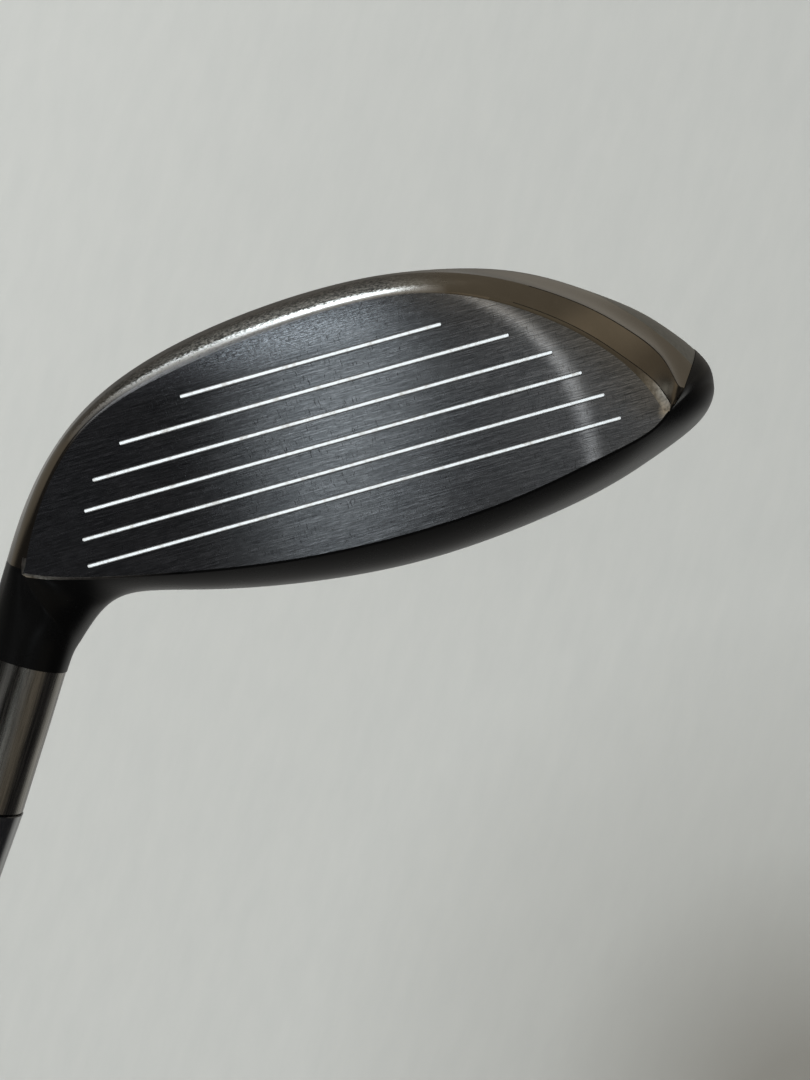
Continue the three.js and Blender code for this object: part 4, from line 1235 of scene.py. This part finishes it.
class Look(Nodes):
    """The nodes of a material, with values for its shader's sockets."""

    def __init__(self, name, colour, metallic, roughness, **sockets):
        self.material = bpy.data.materials.new(name)
        self.material.use_nodes = True
        super().__init__(self.material.node_tree)
        self.shader = self.tree.nodes["Principled BSDF"]
        self.set(Base_Color=colour, Metallic=metallic, Roughness=roughness, **sockets)

    def set(self, **sockets):
        for name, value in sockets.items():
            self.put(self.shader.inputs[name.replace("_", " ")], value)

    def finish(self, colour, roughness, *bumps):
        """The material, with bumps of (height, strength, depth in millimetres) on each other."""
        normal = {}
        for height, strength, depth in bumps:
            made = self.add("Bump", Height=height, Strength=strength, Distance=depth * MM, **normal)
            normal = {"Normal": made}
        self.set(Base_Color=colour, Roughness=roughness, **normal)
        return self.material

    def club_mm(self, **moved):
        """Place in the club's frame, in millimetres."""
        place = self.add("TexCoord", output="Object")
        return self.add("Mapping", place, Scale=(1 / MM,) * 3, **moved)

    def head_mm(self):
        """Place in the address frame, in millimetres."""
        origin = HOSEL_ROOT - TURN @ np.array([0, 0, HEAD_Z])
        return self.club_mm(Location=origin, Rotation=Matrix(TURN.tolist()).to_euler())

    def noise(self, place, scale, detail=4, roughness=0.5, turn=(0, 0, 0), distortion=0):
        """Noise with one scale, or with one along each axis."""
        if isinstance(scale, tuple):
            place, scale = self.add("Mapping", place, Scale=scale, Rotation=turn), 1
        return self.add(
            "TexNoise",
            place,
            Scale=scale,
            Detail=detail,
            Roughness=roughness,
            Distortion=distortion,
            output="Fac",
        )

    def x(self, place):
        return self.add("SeparateXYZ", place, output="X")

    def along(self, place, axis, start):
        """How far a place is along an axis from a start."""
        offset = self.add("VectorMath", place, start, operation="SUBTRACT")
        return self.measure("DOT_PRODUCT", offset, axis)

    def on_face(self, place):
        """(height up the face, depth behind its surface), for a place on the head."""
        height = self.along(place, FACE_UP, LEADING_EDGE)
        out = self.along(place, FACE_NORMAL, LEADING_EDGE)
        x = self.x(place)
        from_middle = height - FACE_MIDDLE_HEIGHT
        bulge, roll = x * x * (0.5 / BULGE_RADIUS), from_middle * from_middle * (0.5 / ROLL_RADIUS)
        sag = bulge + roll
        return height - sag * math.sin(LOFT), out * -1 - sag * math.cos(LOFT)


ARC_TOP = 28  # height up the face from which the painted highlight arc bends away from ARC_X
ARC_X = 33
ARC_SPREAD = 11.3
ARC_WIDTH = 1.15
KNOCKS_X = -7  # middle of the knocked stretch beside the leading edge, lightened with a painted sheen
KNOCKS_REACH = 18
WEAR_X = -8  # middle of the worn stretch of the leading edge


def face_steel():
    look = Look("face_steel", (0.2, 0.2, 0.21), 1.0, 0.36, Anisotropic=0.9)
    place = look.head_mm()
    height, _ = look.on_face(place)
    x = look.x(place)
    flat = look.add("CombineXYZ", x, height)
    look.set(Tangent=look.add("CombineXYZ", *(TURN @ FACE_UP)))
    brush = look.noise(flat, (0.14, 4.6, 1), 5, 0.68, (0, 0, 0.02))
    fine = look.noise(flat, (0.7, 12, 1), 3, 0.65, (0, 0, -0.03))
    cross = look.noise(flat, (4.2, 0.7, 1), 4, 0.7, (0, 0, 0.15))
    cloud = look.noise(flat, 0.07, 3, 0.6)
    patchy = look.noise(flat, (0.2, 0.6, 0.5), 4, 0.7)
    grain = (brush + fine) * 0.5
    tones = (0.07, 0.073, 0.078), (0.185, 0.19, 0.195), (0.4, 0.4, 0.41)
    steel = grain.ramp(*zip((0.38, 0.5, 0.62), tones, strict=True))
    toned = look.mix(cloud.ramp((0.35, 0), (0.7, 0.3)), steel, (0.24, 0.235, 0.23))
    nicks = cross.ramp((0.57, 0), (0.68, 1)) * patchy
    # A painted highlight crosses the face near its toe, in an arc.
    bend = (height * (-1 / ARC_SPREAD) + ARC_TOP / ARC_SPREAD).math("MAXIMUM", 0) ** 3
    off = (x - (ARC_X - bend)) * (1 / ARC_WIDTH)
    arc_highlight = (fine * 1.6 + off - 0.8).bell() * grain.ramp((0.4, 0.2), (0.6, 1))
    toned = look.mix(arc_highlight, toned, (0.95, 0.96, 0.98))
    # Beside the leading edge it is knocked, and lightened with a painted sheen.
    knocks_and_sheen = (x * (1 / KNOCKS_REACH) - KNOCKS_X / KNOCKS_REACH).bell()
    knocks_and_sheen = knocks_and_sheen * (height * 0.2).ramp((0.2, 1), (0.95, 0))
    dents = look.noise(flat, (1.5, 5.5, 1), 5, 0.8)
    toned = look.mix(knocks_and_sheen * dents.ramp((0.4, 0.1), (0.58, 1)), toned, (0.8, 0.83, 0.87))
    # Its toe corner is rubbed, and lightened with a painted highlight.
    corner = look.measure("DISTANCE", flat, (*FACE_CROWN_EDGE[0], 0))
    rubbed_highlight = ((fine * 2 + corner) * 0.2).ramp((0.35, 0.8), (0.55, 0))
    toned = look.mix(rubbed_highlight, toned, (0.8, 0.73, 0.62))
    colour = look.mix(nicks, toned, (0.05, 0.05, 0.052))
    rough = grain * 0.25 + 0.06 + nicks * 0.25
    return look.finish(colour, rough, (brush, 0.35, 0.05), (fine, 0.3, 0.03), (nicks, 0.1, 0.03))


def polished_steel():
    look = Look("polished_steel", (0.18, 0.155, 0.12), 1.0, 0.14)
    place = look.head_mm()
    _, depth = look.on_face(place)
    cloud = look.noise(place, 0.08, 4, 0.6)
    scratch = look.noise(place, (0.15, 4, 4), 5, 0.7, (0.2, 0.1, 0.15))
    fine = look.noise(place, 2.2, 6, 0.7)
    speckle = look.noise(place, (2.2, 5, 5), 4, 0.75)
    tint = cloud.ramp((0.3, (0.155, 0.132, 0.1)), (0.7, (0.2, 0.172, 0.135)))
    tint = look.mix(scratch.ramp((0.6, 0), (0.8, 0.35)), tint, (0.3, 0.28, 0.25))
    # The leading edge is worn to bare, speckled steel; behind that it is pitted, and darkened with
    # a painted dark reflection.
    near = ((speckle * 1.3 - depth) * 0.5 + 0.5).ramp((0.42, 0), (0.6, 1))
    stretch = abs(look.x(place) - WEAR_X) * -0.024 + 1
    worn = near * stretch.ramp((0.35, 0), (0.62, 1))
    tint = look.mix(worn, tint, speckle.ramp((0.34, 0.6), (0.48, 0.98)))
    # Painted dark reflection behind the worn edge, speckled as pits.
    pitted_and_shaded = (1 - near) * stretch.ramp((0.3, 0), (0.55, 1))
    shaded_pits = speckle.ramp((0.44, (0.03, 0.028, 0.025)), (0.66, (0.2, 0.18, 0.16)))
    tint = look.mix(pitted_and_shaded, tint, shaded_pits)
    rough = fine * 0.12 + scratch * 0.12 + pitted_and_shaded * 0.3 + worn * 0.14 + 0.08
    return look.finish(tint, rough, (scratch, 0.12, 0.03), (speckle * worn, 0.3, 0.06))


def edge_steel():
    """The machined edge round the face: bare and bright at the heel, and lit with a painted
    highlight at the toe corner.
    """
    look = Look("edge_steel", (0.6, 0.55, 0.46), 1.0, 0.3)
    place = look.head_mm()
    _, depth = look.on_face(place)
    wear = look.noise(place, 1.1, 5, 0.7)
    fine = look.noise(place, 4, 4, 0.7)
    bright = wear.ramp((0.35, (0.3, 0.27, 0.22)), (0.6, (0.95, 0.88, 0.76)))
    toward_toe = look.x(place) * 0.01 + 0.5
    # Lighter at the heel, where the edge is bare metal, and at the toe corner, where it is a
    # painted highlight.
    share = toward_toe.ramp((0.06, 0.6), (0.23, 0), (0.915, 0), (0.935, 0.5), (0.947, 1))
    share = share * (wear * 0.5 + depth).ramp((0.3, 1), (0.46, 0.1))
    dim = toward_toe.ramp((0.1, 0.1), (0.24, 0.015), (0.7, (0.15, 0.13, 0.1)))
    return look.finish(look.mix(share, dim, bright), fine * 0.3 + 0.2, (fine, 0.3, 0.04))


def neck_steel():
    look = Look("neck_steel", (0.5, 0.48, 0.45), 1.0, 0.28, Anisotropic=0.5)
    look.set(Tangent=look.add("CombineXYZ", 0, 0, 1))
    place = look.club_mm()
    lines = look.noise(place, (3.5, 3.5, 0.12), 5, 0.65)
    speck = look.noise(place, (5, 5, 1.6), 6, 0.75)
    steel = lines.ramp((0.3, (0.1, 0.095, 0.085)), (0.7, (0.24, 0.225, 0.2)))
    colour = look.mix(speck.ramp((0.62, 0), (0.75, 0.6)), steel, (0.5, 0.49, 0.47))
    return look.finish(colour, lines * 0.3 + 0.12, (lines, 0.25, 0.04))


def white_enamel():
    """Paint in the score lines, darker along their edges."""
    look = Look("white_enamel", (0.85, 0.88, 0.9), 0.0, 0.4)
    place = look.head_mm()
    height, _ = look.on_face(place)
    pitch = SCORE_LINES[1][0] - SCORE_LINES[0][0]
    lines = height * (1 / pitch) + (0.5 - SCORE_LINES[0][0] / pitch)
    off = abs(lines.math("FRACT") - 0.5)
    dirt = look.noise(place, 0.9, 5, 0.7)
    edge = (look.noise(place, 2.5, 4, 0.7) * 0.03 + off) * (pitch / SCORE_HALF_WIDTH)
    clean = dirt.ramp((0.3, (0.5, 0.5, 0.48)), (0.5, (0.8, 0.86, 0.9)))
    colour = look.mix(edge.ramp((0.56, 0), (0.78, 1)), clean, (0.1, 0.1, 0.1))
    return look.finish(colour, dirt * 0.3 + 0.25, (look.noise(place, 3, 3), 0.2, 0.04))


def turned_steel(name, colour, middle, out):
    """Steel with the fine rings that turning leaves about an axis."""
    look = Look(name, colour, 1.0, 0.3)
    place = look.club_mm()
    across = look.measure("DISTANCE", place, middle) ** 2 - look.along(place, out, middle) ** 2
    radius = across.math("MAXIMUM", 0).math("SQRT")
    rings = look.noise(look.add("CombineXYZ", radius), 5, 4, 0.7)
    dull, bright = (tuple(min(1, share * x) for x in colour) for share in (0.7, 1.25))
    tone = rings.ramp((0.3, dull), (0.7, bright))
    return look.finish(tone, rings * 0.3 + 0.15, (rings, 0.3, 0.04))


def grained(name, tones, noises, rough, bump=None, on_head=False, metallic=0.0, **sockets):
    """A material of two (place, colour) tones. Its noises drive the colour, the roughness by
    (share, least) and the bump of (strength, depth); the last one serves for any not given."""
    look = Look(name, tones[0][1], metallic, rough[1], **sockets)
    place = look.head_mm() if on_head else look.club_mm()
    made = [look.noise(place, *noise) for noise in noises]
    tone, gloss, relief = (made + made[-1:] * 2)[:3]
    bumps = [(relief, *bump)] if bump else []
    return look.finish(tone.ramp(*tones), gloss * rough[0] + rough[1], *bumps)


def rubber(name, colour):
    pale = tuple(2.4 * x + 0.012 for x in colour)
    noises = [(0.25, 4, 0.6), (3.5, 5, 0.7)]
    return grained(name, [(0.35, colour), (0.8, pale)], noises, (0.3, 0.5), (0.35, 0.1))


def mottled(name, low, high, roughness, scale, metallic=0.0):
    """Two tones of grain with its bump."""
    noises = [(scale, 6, 0.65, (0, 0, 0), 0.4)]
    rough = (0.3, roughness - 0.15)
    return grained(name, [(0.35, low), (0.65, high)], noises, rough, (0.4, 0.1), metallic=metallic)


# ---------------------------------------------------------------- make it

FIBRES = ((9, 9, 0.08), 5, 0.6)
head_pieces(
    {
        "face": face_steel(),
        "polished": polished_steel(),
        "black": grained(
            "black_paint",
            [(0.62, (0.002, 0.002, 0.002)), (0.88, (0.03, 0.028, 0.026))],
            [(6, 4, 0.8), (0.12, 4, 0.6), (1.4, 3)],
            (0.1, 0.23),
            (0.05, 0.08),
            on_head=True,
            IOR=1.16,
        ),
        "neck": neck_steel(),
        "edge": edge_steel(),
        "satin": mottled("satin_steel", (0.16, 0.16, 0.15), (0.24, 0.24, 0.225), 0.4, 1.6, 1.0),
        "seam": grained(
            "seam_shadow",
            [(0.35, (0.006, 0.005, 0.004)), (0.65, (0.02, 0.017, 0.013))],
            [(3, 5, 0.7)],
            (0.2, 0.75),
            on_head=True,
            IOR=1.0,
        ),
    }
)
enamel = white_enamel()
hidden = {
    "debris_resin": mottled("resin", (0.42, 0.28, 0.1), (0.6, 0.45, 0.2), 0.4, 0.6),
    "hosel_adhesive": mottled("epoxy", (0.5, 0.42, 0.28), (0.62, 0.55, 0.4), 0.45, 0.9),
    "tip_weight": mottled("brass", (0.6, 0.42, 0.17), (0.72, 0.53, 0.25), 0.35, 1.2, 1.0),
    "tip_cork": mottled("cork", (0.34, 0.2, 0.09), (0.58, 0.4, 0.22), 0.9, 1.4),
    "grip_tape": mottled("paper", (0.6, 0.54, 0.4), (0.75, 0.69, 0.55), 0.85, 2.5),
}
fills = {f"score_fill_{i + 1}": enamel for i in range(len(SCORE_LINES))}
for node, material in {**fills, **hidden}.items():
    frame["nodes"][node].data.materials[0] = material
shaft_piece(
    [
        grained(
            "carbon",
            [(0.35, (0.006, 0.006, 0.007)), (0.7, (0.05, 0.05, 0.054))],
            [FIBRES, ((0.5, 0.5, 0.01), 3), FIBRES],
            (0.2, 0.12),
            (0.08, 0.03),
            Coat_Weight=1.0,
            Coat_Roughness=0.04,
        ),
        mottled("ring_paint", (0.34, 0.34, 0.35), (0.42, 0.42, 0.43), 0.35, 1.5),
    ]
)
ferrule_piece(
    grained(
        "black_plastic",
        [(0.55, (0.009, 0.009, 0.01)), (0.8, (0.05, 0.047, 0.043))],
        [((4, 4, 0.2), 4, 0.6)],
        (0.2, 0.06),
        (0.12, 0.04),
        Coat_Weight=0.6,
        Coat_Roughness=0.06,
    )
)
grip_pieces(
    rubber("grip_rubber", (0.018, 0.018, 0.019)), rubber("cap_rubber", (0.02, 0.02, 0.021))
)
weight_pieces(
    turned_steel("screw_steel", (0.42, 0.41, 0.4), to_club(PORT_PLACE) / MM, TURN @ PORT_OUT),
    rubber("washer_rubber", (0.02, 0.02, 0.02)),
)

# ---------------------------------------------------------------- stage, light and camera

WALL_Y = 0.36
WALL_TOP = 3.0
STAGE_REACH = 4.0
STAGE_Z = -0.0005
SHADE_PLACE = (0.27, WALL_Y, 0.84)  # middle of a soft shade on the wall
HEAD_MIDDLE = (0.04, 0.0, 1.03)
BACKDROP = (0.5, 0.51, 0.49)
AMBIENT = (0.045, 0.045, 0.048)
# Patches of light: (azimuth from the camera's side, half width, softness), (lowest, highest,
# softness) in degrees, and colour.
PATCHES = [
    ((0, 180, 1), (30, 90, 25), (0.27, 0.25, 0.21)),
    ((-60, 45, 30), (50, 90, 15), (0.15, 0.15, 0.15)),
    ((-69, 16, 12), (46, 64, 9), (4.8, 5.4, 5.7)),
    ((42, 22, 15), (0, 30, 12), (0.22, 0.195, 0.155)),
    ((-110, 25, 15), (15, 30, 15), (0.1, 0.1, 0.1)),
    ((170, 25, 30), (-16, 4, 14), (0.38, 0.38, 0.36)),
    ((165, 30, 25), (-50, -25, 10), (0.24, 0.235, 0.22)),
    ((138, 8, 12), (-22, -5, 10), (0.4, 0.4, 0.38)),
    ((-105, 28, 18), (-18, 2, 10), (0.3, 0.29, 0.26)),
    ((18.5, 2, 6.5), (-30, -24, 14), (1.48, 1.64, 1.74)),
    ((36, 3, 7), (-22, -12, 10), (0.3, 0.32, 0.33)),
    ((30, 8, 12), (-60, -15, 12), (0.08, 0.08, 0.08)),
    ((-24, 5, 8), (-20, 0, 8), (0.4, 0.42, 0.44)),
    ((58, 8, 12), (-22, -5, 8), (0.3, 0.27, 0.22)),
]
# The camera's place in the address frame, its tilt and turn, and its focal length as a share
# of the sensor.
CAMERA_EYE = np.array([4.80, 230.99, 23.86])
CAMERA_PITCH = math.radians(3)
CAMERA_ROLL = math.radians(15.6)
CAMERA_FOCUS = 1.50185
CAMERA_SENSOR = 36


def stage():
    """A floor and a wall that show from their front only, and in no reflection."""
    look = Look("pale_wall", (0.4, 0.407, 0.39), 0.0, 0.9)
    place = look.add("TexCoord", output="Object")
    weave = look.noise(place, (170, 170, 45), 4, 0.6, (0, -0.27, 0))
    pale = weave.ramp((0.3, (0.415, 0.424, 0.412)), (0.7, (0.433, 0.441, 0.427)))
    shade = look.measure("DISTANCE", place, SHADE_PLACE).ramp((0.03, 1), (0.11, 0.3), (0.2, 0))
    look.set(Base_Color=look.mix(shade, pale, (0.2, 0.195, 0.178)))
    back = look.add("NewGeometry", output="Backfacing")
    front = Output(look, look.shader.outputs[0])
    mixed = look.add("MixShader", back, front, look.add("BsdfTransparent"))
    look.put(look.tree.nodes["Material Output"].inputs["Surface"], mixed)
    r, y, low = STAGE_REACH, WALL_Y, STAGE_Z
    sheets = {
        "wall": [(-r, y, low), (r, y, low), (r, y, WALL_TOP), (-r, y, WALL_TOP)],
        "floor": [(-r, -r, low), (r, -r, low), (r, r, low), (-r, r, low)],
    }
    for name, corners in sheets.items():
        mesh = bpy.data.meshes.new(name)
        mesh.from_pydata(corners, [], [(0, 1, 2, 3)])
        mesh.materials.append(look.material)
        made = linked(name, mesh)
        made.visible_glossy = False


def area_light(name, place, size, power):
    """A lamp that faces the head and doesn't show in reflections."""
    light = bpy.data.lights.new(name, "AREA")
    light.shape = "RECTANGLE"
    light.size, light.size_y = size
    light.energy = power
    made = linked(name, light)
    made.visible_glossy = False
    made.location = place
    aim = Vector(HEAD_MIDDLE) - Vector(place)
    made.rotation_euler = aim.to_track_quat("-Z", "Y").to_euler()


def world():
    """A dim room with soft patches of light, for the metal to reflect."""
    made = bpy.data.worlds.new("studio")
    bpy.context.scene.world = made
    made.use_nodes = True
    nodes = Nodes(made.node_tree)

    def fade(value, nought, one):
        """Runs smoothly from nought at one angle to one at the other."""
        node = nodes.tree.nodes.new("ShaderNodeMapRange")
        node.interpolation_type = "SMOOTHSTEP"
        for name, x in (("Value", value), ("From Min", nought), ("From Max", one)):
            nodes.put(node.inputs[name], x)
        return Output(nodes, node.outputs[0])

    direction = nodes.add("TexCoord", output="Generated")
    x, y, z = (nodes.add("SeparateXYZ", direction, output=axis) for axis in "XYZ")
    azimuth = x.math("ARCTAN2", y * -1) * math.degrees(1)
    height = z.math("ARCSINE") * math.degrees(1)
    total = AMBIENT
    for (middle, width, soft), (low, high, fall), colour in PATCHES:
        off = abs((azimuth - middle).math("WRAP", 180, -180))
        share = fade(height, low - fall, low) * fade(height, high + fall, high)
        share = share * fade(off, width + soft, width)
        total = nodes.add("VectorMath", colour, share, total, operation="MULTIPLY_ADD")
    seen = nodes.add("LightPath", output="Is Camera Ray")
    nodes.put(nodes.tree.nodes["Background"].inputs[0], nodes.mix(seen, total, BACKDROP))


def camera():
    data = bpy.data.cameras.new("camera")
    data.sensor_width = CAMERA_SENSOR
    data.lens = CAMERA_FOCUS * CAMERA_SENSOR
    data.clip_start, data.clip_end = 0.01, 50
    across = np.array([1.0, 0, 0])
    upward = np.array([0, math.sin(CAMERA_PITCH), math.cos(CAMERA_PITCH)])
    right = across * math.cos(CAMERA_ROLL) + upward * math.sin(CAMERA_ROLL)
    up = across * math.sin(CAMERA_ROLL) - upward * math.cos(CAMERA_ROLL)
    made = linked("camera", data)
    made.matrix_world = placed(CAMERA_EYE, right, up, np.cross(right, up))
    bpy.context.scene.camera = made


stage()
world()
area_light("overhead", (-1.1, -0.6, 1.9), (0.9, 0.7), 20)
area_light("fill", (-0.3, -1.5, 0.6), (1.4, 1.4), 27)
camera()
bpy.context.scene.view_settings.view_transform = "Standard"
